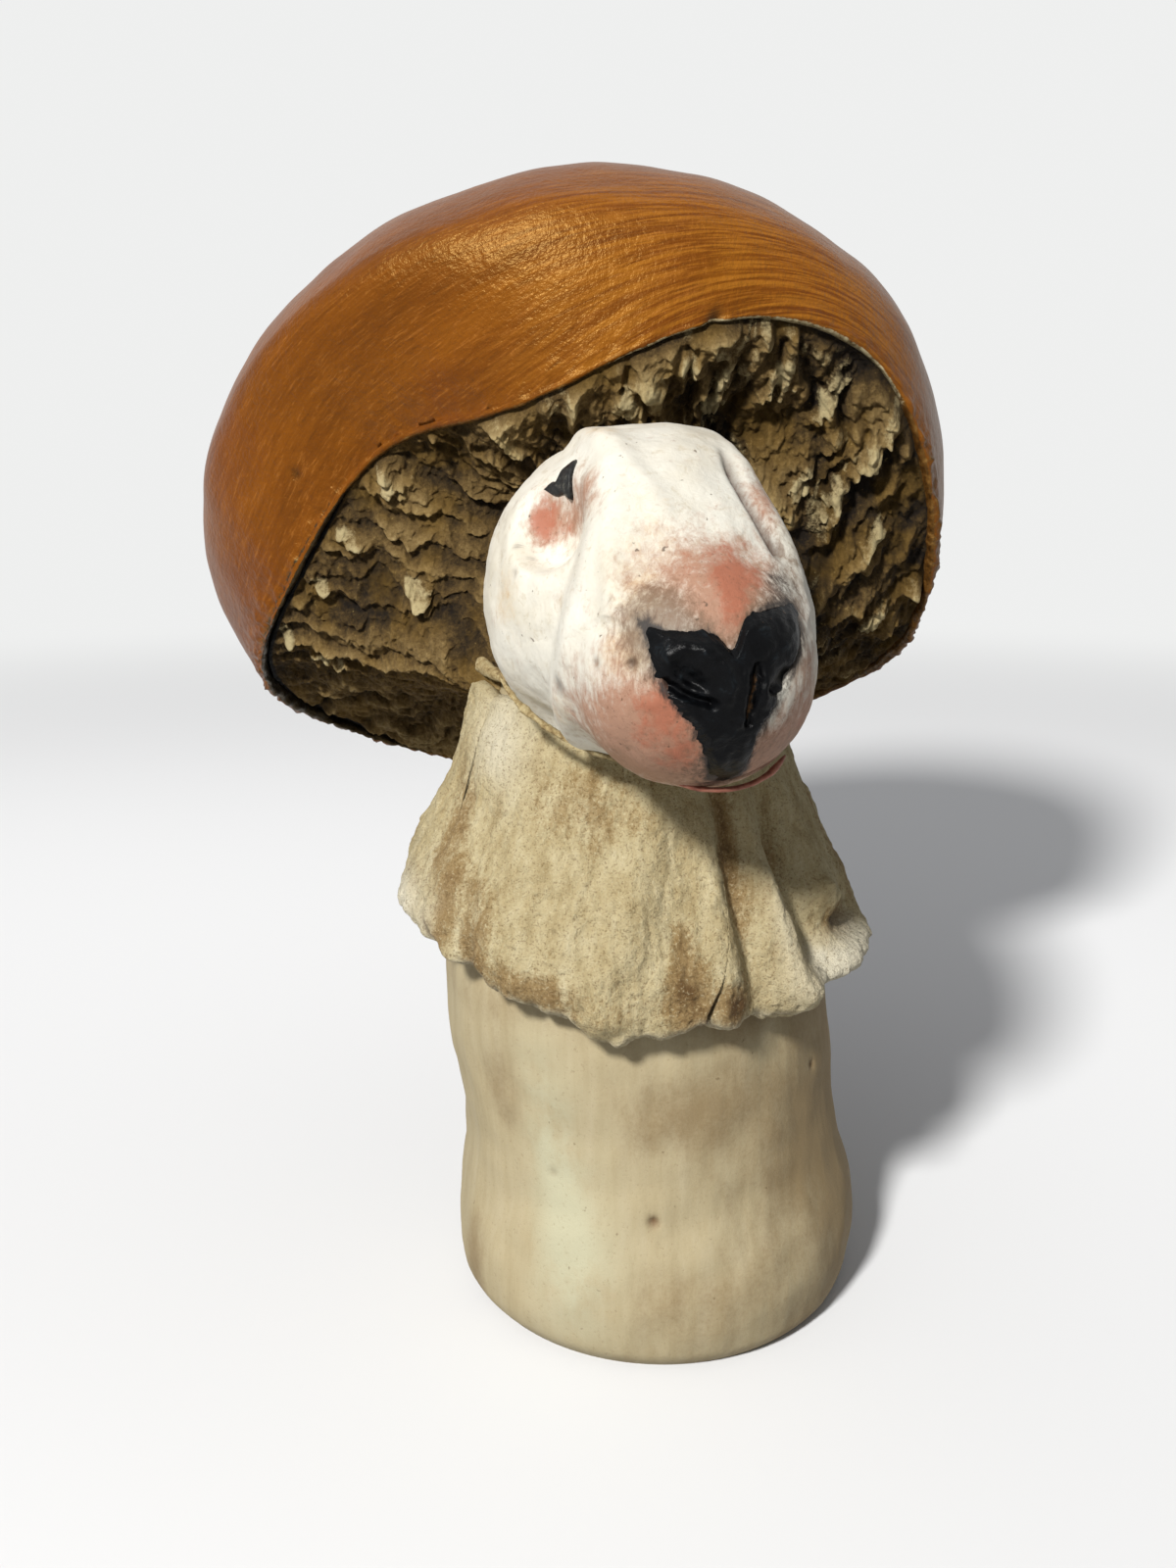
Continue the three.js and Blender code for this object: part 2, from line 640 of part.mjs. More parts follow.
const cap = moved(capSolid(), capGroup.matrixWorld);
const gills = moved(gillSolid(), capGroup.matrixWorld);
add("cap", cut(cap, stemSeat, capBore), MATERIALS.cap, capGroup);
add(
  "gills",
  cut(gills, stemSeat, headSeat, ...skirtSeats, neckRollSeat, capBore),
  MATERIALS.gills,
  capGroup,
);

const head = cut(headSolid(0), stemSeat, pegBore, noseSeat, ...eyeSeats);
add("head", head, MATERIALS.head, headGroup);
const nostrils = NOSTRILS.map(([x, z]) =>
  ellipsoidSolid([x, NOSTRIL.y, z], NOSTRIL.radii, NOSTRIL.sides),
);
const nosePad = headSolid(NOSE_PROUD).intersect(nosePrism(0)).subtract(headSolid(-NOSE_DEPTH));
add("nose_pad", cut(nosePad, ...nostrils), MATERIALS.nose, headGroup);
add("left_eye", leftEye, MATERIALS.eye, headGroup);
add("right_eye", rightEye, MATERIALS.eye, headGroup);
const lip = ellipsoidSolid(LIP.centre, LIP.radii, LIP.sides);
add("lower_lip", cut(lip, headSeat, nosePrism(GAP)), MATERIALS.lip, headGroup);

export default ornament;
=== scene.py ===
"""A mushroom ornament in painted clay, dressed round its CAD frame.

Shapes are worked out in millimetres from the ornament's driving sizes, and the meshes are written in metres.
Azimuths are degrees round the stem: 0 is the front, -Y, and they grow towards +X.
"""

import itertools
import math

import bpy
import numpy as np
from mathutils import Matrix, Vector


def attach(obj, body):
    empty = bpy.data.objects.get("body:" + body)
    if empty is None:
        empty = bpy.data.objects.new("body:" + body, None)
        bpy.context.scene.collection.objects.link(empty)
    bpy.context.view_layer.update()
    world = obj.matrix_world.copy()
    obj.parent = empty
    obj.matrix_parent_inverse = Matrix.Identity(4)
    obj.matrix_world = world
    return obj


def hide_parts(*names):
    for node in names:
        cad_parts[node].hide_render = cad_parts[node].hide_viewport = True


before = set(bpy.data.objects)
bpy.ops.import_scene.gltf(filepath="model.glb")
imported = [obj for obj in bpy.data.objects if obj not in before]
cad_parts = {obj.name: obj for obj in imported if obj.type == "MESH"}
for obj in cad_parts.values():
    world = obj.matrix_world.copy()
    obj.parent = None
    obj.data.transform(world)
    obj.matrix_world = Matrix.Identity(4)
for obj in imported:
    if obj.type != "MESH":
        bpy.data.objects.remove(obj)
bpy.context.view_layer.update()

MM = 0.001

# Stem, in mm: [radius, height] from the foot to the tip of the neck
STEM_OUTLINE = [
    (26.5, 0), (28.2, 2.6), (28.8, 8), (28.0, 14.5), (26.8, 21), (26.4, 30), (26.6, 39), (26.0, 47),
    (23.6, 57), (20.4, 69), (18.4, 79), (17.4, 88), (15.4, 98), (12.8, 106), (8.5, 111.5),
]
LEAN = {"x": -4.2, "y": 1.0, "low": 12, "high": 58}
NECK_BEND = {"back": 18, "low": 70, "high": 112, "power": 1.5}
# Tables of spots on stem and skirt hold (strength, azimuth, height, half width in degrees, half height)
STEM_SWELLS = [(0.5, 56, 17, 22, 9), (-0.5, 10, 24, 16, 12)]
STEM_PITS = [(1, -16.2, 20.6, 1.3, 0.7), (0.35, -44.3, 25.4, 1.2, 0.5), (0.6, 43.2, 36.4, 1.2, 0.5)]
# Brown stains, with two wide spots of painted shade on the right side, at azimuths 34 and 62.
STEM_STAINS_AND_SHADE = [
    (0.8, -56, 35, 12, 8), (0.85, -4, 35, 17, 8), (0.75, -76, 6, 9, 8), (0.5, -14, 10, 18, 7),
    (0.5, 34, 24, 26, 22), (0.75, 62, 24, 32, 40), (0.5, 150, 20, 40, 14),
]
STEM_GREEN = [(1, -43, 30, 9, 12), (1, -38, 14, 11, 10)]

# Cap
CAP_CENTRE = np.array([-6.5, 29.7, 104.85])
CAP_TILT = math.radians(47.6)
CAP_SWING = math.radians(-11.2)
CAP_HEIGHT = 31.8
CAP_FULLNESS = 0.84
CAP_UNDERSIDE = -6.0
LIP = 1.3
# Section of the lip from inside the rim round to its outer edge: (outwards, upwards) from the rim line
LIP_SECTION = [(-1.6, 3.6), (-1.45, 1.8), (-1.3, 0.7), (-0.9, 0.0), (-0.35, -0.05), (0, 0.35)]
# Waves are (lobes, swing in mm, angle of a crest in degrees); -90 is the raised front
CAP_RADIUS = (54.3, [(2, 2.8, -43), (1, 0.6, 52)])
RIM_RADIUS = (46.1, [(1, 6.1, 34), (2, 7, -31), (3, 2.1, 31), (4, 2, 41)])
RIM_LEVEL = (-12.9, [(2, 1.5, -81), (4, 4, 42)])
# Small pits in the cap's varnish: (place in the cap's frame, size, strength)
CAP_PITS = [((-36.6, -19.1, -9.3), 0.6, 1), ((9.4, -44.1, 19.5), 0.35, 1)]
# The brush strokes climb across the cap by this many mm, from the angle where they run level
BRUSH_CLIMB = 7
BRUSH_START = -80
GILL_HUB = (6.5, -8.0, 8.0)
GILL_FALL = {"mean": 18.2, "front": 11.5, "sides": 6.8, "power": 1.4}
# How far the ridges swing round by the time they reach the rim on the right, in radians
GILL_TWIST = 0.42
# Hollows, darkened with painted shade, and pale clumps, partly dry-brushed and partly painted highlight:
# (angle, share of the way from the hub to the rim, size)
GILL_HOLLOWS = [(-11, 0.66, 1.3), (-4, 0.52, 1.1), (-89, 0.7, 1.3), (-47, 0.66, 0.8), (-176, 0.75, 0.7)]
GILL_CLUMPS = [
    (-81, 0.78, 1), (-71, 0.87, 0.9), (-62, 0.6, 1.1), (-63, 0.76, 0.9), (-54, 0.8, 1.2), (-45, 0.85, 1.2),
    (-36, 0.97, 0.9), (-29, 0.67, 1), (-32, 0.82, 1.2), (-20, 0.78, 0.9), (-35, 0.58, 0.9), (-3, 0.8, 1.1),
    (-142, 0.93, 0.8), (-172, 0.89, 0.7), (-165, 0.56, 0.9), (175, 0.95, 0.7), (-159, 0.9, 0.7),
    (166, 0.77, 1),
]

# Skirt
SKIRT_RADII = [20.6, 21.6, 22.9, 24.4, 27, 29.3, 30.6, 30.9]
SKIRT_TOP = {"front": 83, "side": 85.5, "back": 78}
SKIRT_CREST = 0.8
SKIRT_HEMS = {
    "skirt_front": [(-66, 54.0), (-56, 52.6), (-45, 50.4), (-33, 49.5), (-20, 47.2), (-9, 47.7), (4, 48.4)],
    "skirt_right": [(4, 48.6), (20, 48.0), (31, 48.4), (40, 49.2), (60, 50.8), (82, 53.5)],
    "skirt_back": [(82, 52.5), (120, 50), (165, 53), (215, 49.5), (265, 54.5), (280, 57), (294, 54.5)],
}
# How far a seam leans round the stem, in degrees from its place in SKIRT_HEMS, by height
SEAM_LEAN = {
    "left": ([53, 59, 66, 74, 84], [2, -6, -16, -9.5, -6]),
    "front": ([50, 55, 66, 84], [-2.5, 2, 8, 9]),
    "back": ([50, 88], [0, 0]),
}
SLAB_SEAMS = {
    "skirt_front": ("left", "front"),
    "skirt_right": ("front", "back"),
    "skirt_back": ("back", "left"),
}
# How proud a slab's first and last edges stand of its neighbours, in mm
EDGE_STEP = {"skirt_front": (0.1, 0.6), "skirt_right": (-0.6, 0.0), "skirt_back": (0.0, 0.1)}
# Places where a seam gapes: (height, half its length, half its width in degrees)
SEAM_GAPS = {"left": [(70, 1.2, 0.15)], "front": [(51.5, 1.8, 0.35)]}
# How far up the hem's rounded edge reaches
HEM_ROLL = 3.2
# Folds of the slabs: (upper end and lower end as azimuth and height, half width in degrees, swell in mm)
SKIRT_FOLDS = [
    ((-66, 72), (-58, 53), 5, -0.8), ((-48, 78), (-46, 54), 7, 0.4), ((-34, 72), (-40, 51), 5, -0.5),
    ((-6, 76), (-22, 52), 6, 1.2), ((6, 78), (7, 52), 4, 0.9), ((14, 78), (15, 54), 3.6, -1.9),
    ((21, 76), (26, 52), 4, 1.8), ((30, 77), (36, 56), 4.5, -2.4), ((42, 78), (47, 61), 6, 1.6),
    ((62, 76), (62, 58), 7, 0.7), ((76, 74), (76, 54), 6, -0.8), ((96, 70), (94, 52), 8, -1.0),
    ((112, 74), (112, 50), 10, 1.5), ((140, 72), (141, 50), 8, -1.1), ((176, 72), (176, 50), 13, 1.4),
    ((212, 70), (213, 50), 8, -1.2), ((240, 72), (238, 50), 11, 1.4), ((262, 70), (266, 54), 6, -0.7),
]
# The ledge over the scooped hem on the right: its two ends, half its height and its swell in mm
SKIRT_SHELF = ((28, 51), (64, 53.2), 2.4, 1.9)
SKIRT_LUMPS = [
    (1.6, -86, 57, 11, 4.4), (0.9, -77, 52, 6, 3), (-1.3, -56, 54, 2.6, 3.4), (-2.4, 50, 56.4, 8, 2.4),
    (1.2, 43, 62, 2.4, 1.3), (0.8, 24, 53, 4, 3), (0.9, 37, 51.6, 5, 2), (0.7, 55, 53.2, 6, 2),
    (0.8, -68, 80, 16, 6), (-0.9, 9, 51, 3, 2.4), (0.6, -20, 50, 5, 2), (0.5, -40, 52, 4, 2),
]
# Brown stains, and painted shade: the head's shadow on the right at azimuths 14.5, 34 and 66, and the scooped
# hollow at 50.
SKIRT_STAINS_AND_SHADE = [
    (0.9, -55, 56, 8, 7), (0.8, -38, 52.5, 10, 3), (0.4, -20, 51, 12, 2.5), (1.1, -2, 54, 5, 6),
    (1.5, 9, 51, 4, 3), (1.4, 50, 57, 8, 2.4), (0.7, -74, 69, 7, 6), (0.3, 34, 64, 4, 9),
    (0.4, -28, 74, 25, 5), (0.9, 14.5, 66, 4, 12), (1.3, -77.5, 52.5, 4, 2.6), (0.8, -66, 59, 4, 6),
    (0.35, 150, 60, 30, 10), (0.5, 66, 66, 8, 14),
]
# Pale lumps, which also carry painted highlights on the left lobe, the ridge at 24 and the ledge at 44.
SKIRT_PALE_AND_HIGHLIGHT = [
    (1.6, -86, 57.4, 11, 4), (0.4, 24, 58, 3, 6), (1.6, 44, 52, 15, 2.6), (0.8, -62, 80, 12, 6),
    (0.5, -70, 55, 3, 4), (0.5, 57, 54, 5, 2),
]

# Head, measured from the mid plane of the face
HEAD_X = -7.0
HEAD_CORE = np.array([0.0, -22, 97])
SKULL = ((0, -11, 99), (18, 17, 18.3))
JOWL = ((0, -19, 95.5), (18.3, 20, 16.3))
MUZZLE = ((0, -20, 101), (0, -34.4, 92.2), 15.5, 13.0)
BRIDGE = {"arc": (-14, 90, 27.2), "narrow": 7.7, "wide": 10.5, "top": 114, "foot": 103, "end": 99}
EYE_HOLLOW = ((15.6, -24, 109.6), (5, 7, 7.4))
BLEND = {"cheeks": 6, "ridge": 1.6, "bridge": 3, "hollow": 1.6}
NOSE_CENTRE = (0.0, 91.0)
NOSE_OUTLINE = [
    (-8.1, 97.6), (-5.4, 96.9), (-2.4, 96.9), (-0.4, 95.2), (1.4, 98.2), (4.6, 99.3), (7.6, 98.8),
    (7.7, 95.2), (4.8, 90), (3.0, 86.8), (2.4, 81.9), (-0.5, 81.9), (-3.3, 86.8), (-7.2, 92),
]
# Ridges and grooves of the nose pad: (swell in mm, half width, path of places across and up)
SEPTUM = [(2.0, 93.6), (1.7, 91.0), (1.3, 88.2)]
NOSE_LINES = [
    (0.75, 0.9, [(-6.9, 94.6), (-5.0, 95.6), (-2.6, 94.8), (-1.0, 92.8), (-1.2, 90.6)]),
    (-1.12, 0.5, [(-6.6, 92.2), (-4.6, 90.9), (-2.4, 90.2)]),
    (-0.78, 0.45, [(3.6, 91.4), (5.0, 90.4)]),
    (-0.7, 0.5, SEPTUM),
    (0.3, 0.55, [(0.6, 93.0), (0.5, 90.6), (0.6, 88.0)]),
    (0.24, 0.5, [(3.0, 92.4), (2.9, 90.0)]),
]
# Its two nostrils and a lobe: (swell in mm, place, half width, half height, lean in degrees)
NOSE_PATCHES = [
    (-1.4, (-4.2, 92.4), 2.3, 1.0, -32), (-1.3, (5.4, 92.3), 1.3, 1.1, 20), (0.45, (3.8, 96.6), 3.4, 1.9, 12),
]
NOSE_FLECKS = [(0.75, 0.5, SEPTUM), (0.4, 0.5, [(2.6, 97.9), (5.6, 98.4)])]
LIP_PATH = [(-3.8, -37.8, 80.9), (-0.6, -39.4, 79.9), (3.2, -40.4, 80.1), (6.6, -39.9, 81.2),
            (9.2, -38.2, 82.8)]
# The eye on one side, and its outline round that place: (towards the bridge, upwards)
EYE_PLACE = (11.2, -19.6, 110.8)
EYE_OUTLINE = [(-2.1, -0.4), (-1.0, 0.4), (-0.2, 0.5), (0.3, 1.4), (1.0, 2.5), (2.0, 2.9), (2.5, 0.8),
               (2.6, -1.5), (1.2, -0.9), (-0.3, -1.1)]
# Lines on the head's skin
VALLEY = [(-9.9, -20, 116), (-10.4, -22, 112), (-11.2, -24, 108), (-13.2, -29.4, 104), (-14.9, -30, 100),
          (-16, -29, 95), (-16, -26.3, 90.5), (-14.5, -22, 86)]
BROW_CREASE = [(5.6, -27, 114.6), (5.5, -30.5, 112.2), (5.9, -33.6, 109.6), (6.7, -36.2, 106.8),
               (7.6, -38, 104.2)]
SOFT_EDGE = [(-6.4, -21.8, 116.5), (-6, -26, 115), (-5.6, -29.4, 113), (-4.8, -32, 111), (-4.1, -35.3, 108.3)]
MOUTH = [(-4.5, -38, 81.4), (-1, -39.8, 80.9), (2.6, -40.7, 81.1), (6, -40.6, 82.2), (9.5, -39.2, 84)]
# Hollows and small pits of the head: (place, size, depth), and scratches as lines
HEAD_HOLLOWS = [((-18.4, -21, 98), (6, 9, 9), 1.1)]
HEAD_PITS = [
    ((-12, -39.3, 93.4), 0.6, 0.35), ((-13.9, -30.9, 90), 1.1, 0.5), ((-12.3, -21, 83.4), 0.9, 0.4),
    ((-9.4, -43.3, 93.7), 0.6, 0.6), ((-17.4, -21, 101.5), 0.6, 0.3),
]
HEAD_SCRATCHES = [
    [(-17.2, -18.6, 103.2), (-15.9, -18.8, 105.4)],
    [(-16.6, -20.6, 101.5), (-15.2, -20.2, 104)],
    [(-12.3, -21.6, 84.8), (-11, -24, 82.5), (-8.5, -26, 80.8)],
]
# Blushes of colour: (place, size along each axis, strength)
PINK_SPOTS = [
    ((-0.6, -42, 101.2), (8.2, 9, 6.0), 1.15), ((-0.4, -43, 96.6), (3.4, 6, 3.4), 0.9),
    ((-12.3, -20, 107.0), (2.6, 4, 3.0), 1.3), ((-10.0, -26, 110), (1.3, 5, 5), 0.8),
    ((7.8, -33, 110), (1.8, 5, 5), 0.85), ((-7.5, -43, 89.5), (5.6, 8, 5.8), 1.1),
    ((8.4, -42, 89.5), (3.8, 8, 7), 0.9), ((-2, -42, 83.6), (10, 9, 4.4), 0.9),
    ((-13.5, -36, 88), (3, 8, 5), 0.35),
]
SALMON_SPOTS = [
    ((1.2, -42, 102.6), (3.8, 7, 3.2), 0.85), ((0.2, -42, 98.2), (2.0, 6, 3.4), 0.85),
    ((-6.6, -44, 88.8), (2.8, 6, 3.8), 0.95), ((-3.9, -44, 84.6), (2.4, 6, 2.2), 0.8),
    ((7.6, -44, 88.4), (2.0, 6, 3.0), 0.5), ((-12.7, -20, 107.1), (1.9, 3, 2.4), 1.2),
]
CREAM_SPOTS = [
    ((-5.5, -37, 106.5), (4, 8, 5), 0.45), ((-8, -41, 99.5), (3, 6, 4), 0.6),
    ((-18.3, -21.5, 99), (1.6, 5, 5), 0.75), ((-6.3, -20, 116.5), (2, 4, 2.4), 0.7),
    ((-9.5, -42, 94), (3, 6, 3), 0.6), ((-14, -30, 86), (3, 6, 4), 0.5),
]
NOSE_SOOT = [((6.9, -42, 101.6), (2.6, 4, 2.0), 0.8), ((-8, -42, 98), (1.4, 4, 1.6), 0.6)]
CHIN_SOOT = [((0.5, -42, 82.4), (5, 5, 2.4), 0.7)]
GRIME_SPOTS = [
    ((8.8, -38, 103.4), (2.4, 6, 4), 0.7), ((-6.5, -42, 99.2), (3.4, 5, 2.8), 0.9),
    ((-9, -42, 95), (1.6, 5, 3), 0.4), ((-15.5, -12, 108), (3, 6, 4), 0.4), ((9, -40, 86), (4, 7, 5), 0.35),
]
JAW_PATH = [
    (-17.6, -13.2, 88.6), (-16.4, -16.6, 84.8), (-13, -20.4, 81.8), (-8.4, -23.6, 79.2),
    (-3, -25.2, 77.6), (3, -25, 77.6), (8.6, -22.8, 79.2), (13, -19, 81.8),
]
# How far the middle of the jaw's roll lies outside the head's skin, in mm
JAW_PROUD = 0.1

# A small lamp close by at the front left, with its place and size in metres
KEY = {"place": (-0.187, -0.223, 0.272), "radius": 0.023, "energy": 60, "colour": (1.0, 0.985, 0.955)}
# Where the room's ceiling is brightest, and the room's strength away from it and towards it
CEILING = (-0.35, 0.2, 0.9)
ROOM = (0.02, 0.38)
BACKDROP = (0.86, 0.865, 0.86, 1)
# 14 degrees round to the left and 13 degrees down, with the place in metres and the lens in millimetres
CAMERA = {"turn": -14, "dip": 13, "place": (-0.04919, -0.15724, 0.10918), "lens": 28.125, "sensor": 36}


# Numbers and curves

def lerp(a, b, t):
    return a + (b - a) * t


def smooth(t):
    t = np.clip(t, 0, 1)
    return t * t * (3 - 2 * t)


def between(x, low, high):
    """0 below low, 1 above high, smooth in between. It falls where high is the smaller."""
    return smooth((x - low) / (high - low))


def turned(across, along, angle):
    """Two coordinates turned round their origin by an angle."""
    sine, cosine = math.sin(angle), math.cos(angle)
    return across * cosine - along * sine, across * sine + along * cosine


def spline(points, t):
    """Catmull-Rom curve through points, at fractions t from 0 to 1."""
    p = np.asarray(points, float)
    p = p if p.ndim == 2 else p[:, None]
    last = len(p) - 1
    place = np.clip(np.asarray(t, float), 0, 1) * last
    i = np.minimum(place.astype(int), last - 1)
    f = (place - i)[..., None]
    before, start = p[np.maximum(i - 1, 0)], p[i]
    end, after = p[i + 1], p[np.minimum(i + 2, last)]
    leave, arrive = (end - before) / 2, (after - start) / 2
    return (
        (2 * f**3 - 3 * f**2 + 1) * start + (f**3 - 2 * f**2 + f) * leave
        + (3 * f**2 - 2 * f**3) * end + (f**3 - f**2) * arrive
    )


def waves(spec, angle):
    mean, parts = spec
    return mean + sum(swing * np.cos(lobes * (angle - math.radians(crest))) for lobes, swing, crest in parts)


RANDOM = np.random.default_rng(11)
LATTICE = 1024
SLOPES = RANDOM.normal(size=(LATTICE, 3))
SLOPES /= np.linalg.norm(SLOPES, axis=1, keepdims=True)
ORDER = RANDOM.permutation(LATTICE)


def noise(points, size, seed=0):
    """Smooth noise from about -1 to 1. size is the width of its swells, one number or one per axis."""
    p = np.asarray(points, float) / size + 31.7 * seed
    shape = p.shape[:-1]
    p = p.reshape(-1, 3)
    cell = np.floor(p).astype(np.int64)
    part = p - cell
    fade = part**3 * (part * (part * 6 - 15) + 10)
    total = np.zeros(len(p))
    for corner in itertools.product((0, 1), repeat=3):
        x, y, z = (cell + corner).T
        index = ORDER[(ORDER[(ORDER[x % LATTICE] + y) % LATTICE] + z) % LATTICE]
        weight = np.prod(np.where(corner, fade, 1 - fade), axis=1)
        total += weight * (SLOPES[index] * (part - corner)).sum(1)
    return (1.6 * total).reshape(shape)


CENTRES = RANDOM.random((LATTICE, 3))


def cells(points, size, seed=0):
    """0 in the middle of a lump to about 1 in the creases between lumps, which are about size mm wide."""
    p = np.asarray(points, float) / size + 17.3 * seed
    shape = p.shape[:-1]
    p = p.reshape(-1, 3)
    home = np.floor(p).astype(np.int64)
    nearest = np.full(len(p), 9.0)
    for step in itertools.product((-1, 0, 1), repeat=3):
        cell = home + step
        x, y, z = cell.T
        index = ORDER[(ORDER[(ORDER[x % LATTICE] + y) % LATTICE] + z) % LATTICE]
        away = ((cell + CENTRES[index] - p) ** 2).sum(1)
        nearest = np.minimum(nearest, away)
    return np.sqrt(nearest).reshape(shape)


def beside_path(points, path):
    """Offsets from the nearest place on a curve, and that place's share of the curve's length."""
    line = spline(path, np.linspace(0, 1, 90))
    flat = points.reshape(-1, points.shape[-1])
    nearest = ((line**2).sum(1)[None] - 2 * flat @ line.T).argmin(1)
    share = nearest / (len(line) - 1)
    return (flat - line[nearest]).reshape(points.shape), share.reshape(points.shape[:-1])


def along_line(points, path, half_width):
    """1 on a curve, falling to 0 beside it."""
    offset, _ = beside_path(points, path)
    return np.exp(-((np.linalg.norm(offset, axis=-1) / half_width) ** 2))


def spots(points, table):
    """The sum of a table's spots: (place, size as one number or one per axis, strength)."""
    return sum(
        strength * np.exp(-(((points - place) / size) ** 2).sum(-1))
        for place, size, strength in table
    )


def around(angle, centre, half, core):
    """1 within core degrees of a centre on a circle, and 0 from half degrees on. angle is in radians."""
    away = np.abs((np.degrees(angle) - centre + 180) % 360 - 180)
    return between(away, half, core)


def rough(points, size, octaves, seed=0):
    """Noise summed over finer and finer swells."""
    return sum(noise(points, np.asarray(size) / 2**i, seed + i) / 2**i for i in range(octaves))


def noises(points, *layers):
    """Noise of several sizes added up, each layer a depth, a size in mm and a seed."""
    return sum(depth * noise(points, size, seed) for depth, size, seed in layers)


# Meshes

def loft_faces(rows, sides, capped):
    """Quads through rows of sides points. Capped rows end in fans round two more points."""
    at = np.arange(rows * sides).reshape(rows, sides)
    across = np.roll(at, -1, axis=1)
    quads = np.stack([at[:-1], across[:-1], across[1:], at[1:]], axis=-1).reshape(-1, 4).tolist()
    if capped:
        low, high = rows * sides, rows * sides + 1
        quads += [[low, b, a] for a, b in zip(at[0], across[0])]
        quads += [[high, a, b] for a, b in zip(at[-1], across[-1])]
    else:
        quads += np.stack([at[-1], across[-1], across[0], at[0]], axis=-1).reshape(-1, 4).tolist()
    return quads


def grid_normals(points):
    """Unit normals of a grid of points whose rows close on themselves."""
    along = np.roll(points, -1, axis=1) - np.roll(points, 1, axis=1)
    normal = np.cross(along, np.gradient(points, axis=0))
    return normal / np.maximum(np.linalg.norm(normal, axis=-1, keepdims=True), 1e-9)


def add_piece(name, rings, material, nodes, capped=True, fields=None):
    """A piece from rings of points in mm. fields are values at its points that its material reads."""
    rows, sides = rings.shape[:2]
    points = rings.reshape(-1, 3)
    values = {key: value.reshape(rows * sides, -1) for key, value in (fields or {}).items()}
    if capped:
        ends = np.stack([rings[0].mean(0), rings[-1].mean(0)])
        points = np.concatenate([points, ends])
        for key, value in values.items():
            caps = np.stack([value[:sides].mean(0), value[-sides:].mean(0)])
            values[key] = np.concatenate([value, caps])
    faces = loft_faces(rows, sides, capped)
    piece = bpy.data.objects.new(name, build_mesh(name, points, faces, material, values))
    bpy.context.scene.collection.objects.link(piece)
    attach(piece, "root")
    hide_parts(*nodes)


def build_mesh(name, points, faces, material, values):
    mesh = bpy.data.meshes.new(name)
    mesh.from_pydata((points * MM).tolist(), [], faces)
    for key, value in values.items():
        kind = "FLOAT" if value.shape[1] == 1 else "FLOAT_VECTOR"
        attribute = mesh.attributes.new(key, kind, "POINT")
        attribute.data.foreach_set("value" if kind == "FLOAT" else "vector", value.astype(np.float32).ravel())
    if signed_volume(points, faces) < 0:
        mesh.flip_normals()
    mesh.shade_smooth()
    mesh.materials.append(material)
    return mesh


def signed_volume(points, faces):
    triangles = np.array([face[:3] for face in faces] + [[f[0], f[2], f[3]] for f in faces if len(f) == 4])
    a, b, c = (points[triangles[:, i]] for i in range(3))
    return (a * np.cross(b, c)).sum()


# Materials

def srgb(red, green, blue):
    """A colour written as 0 to 255 in sRGB, as the linear colour that a shader takes."""
    def linear(value):
        value /= 255
        return value / 12.92 if value <= 0.04045 else ((value + 0.055) / 1.055) ** 2.4
    return (linear(red), linear(green), linear(blue), 1.0)


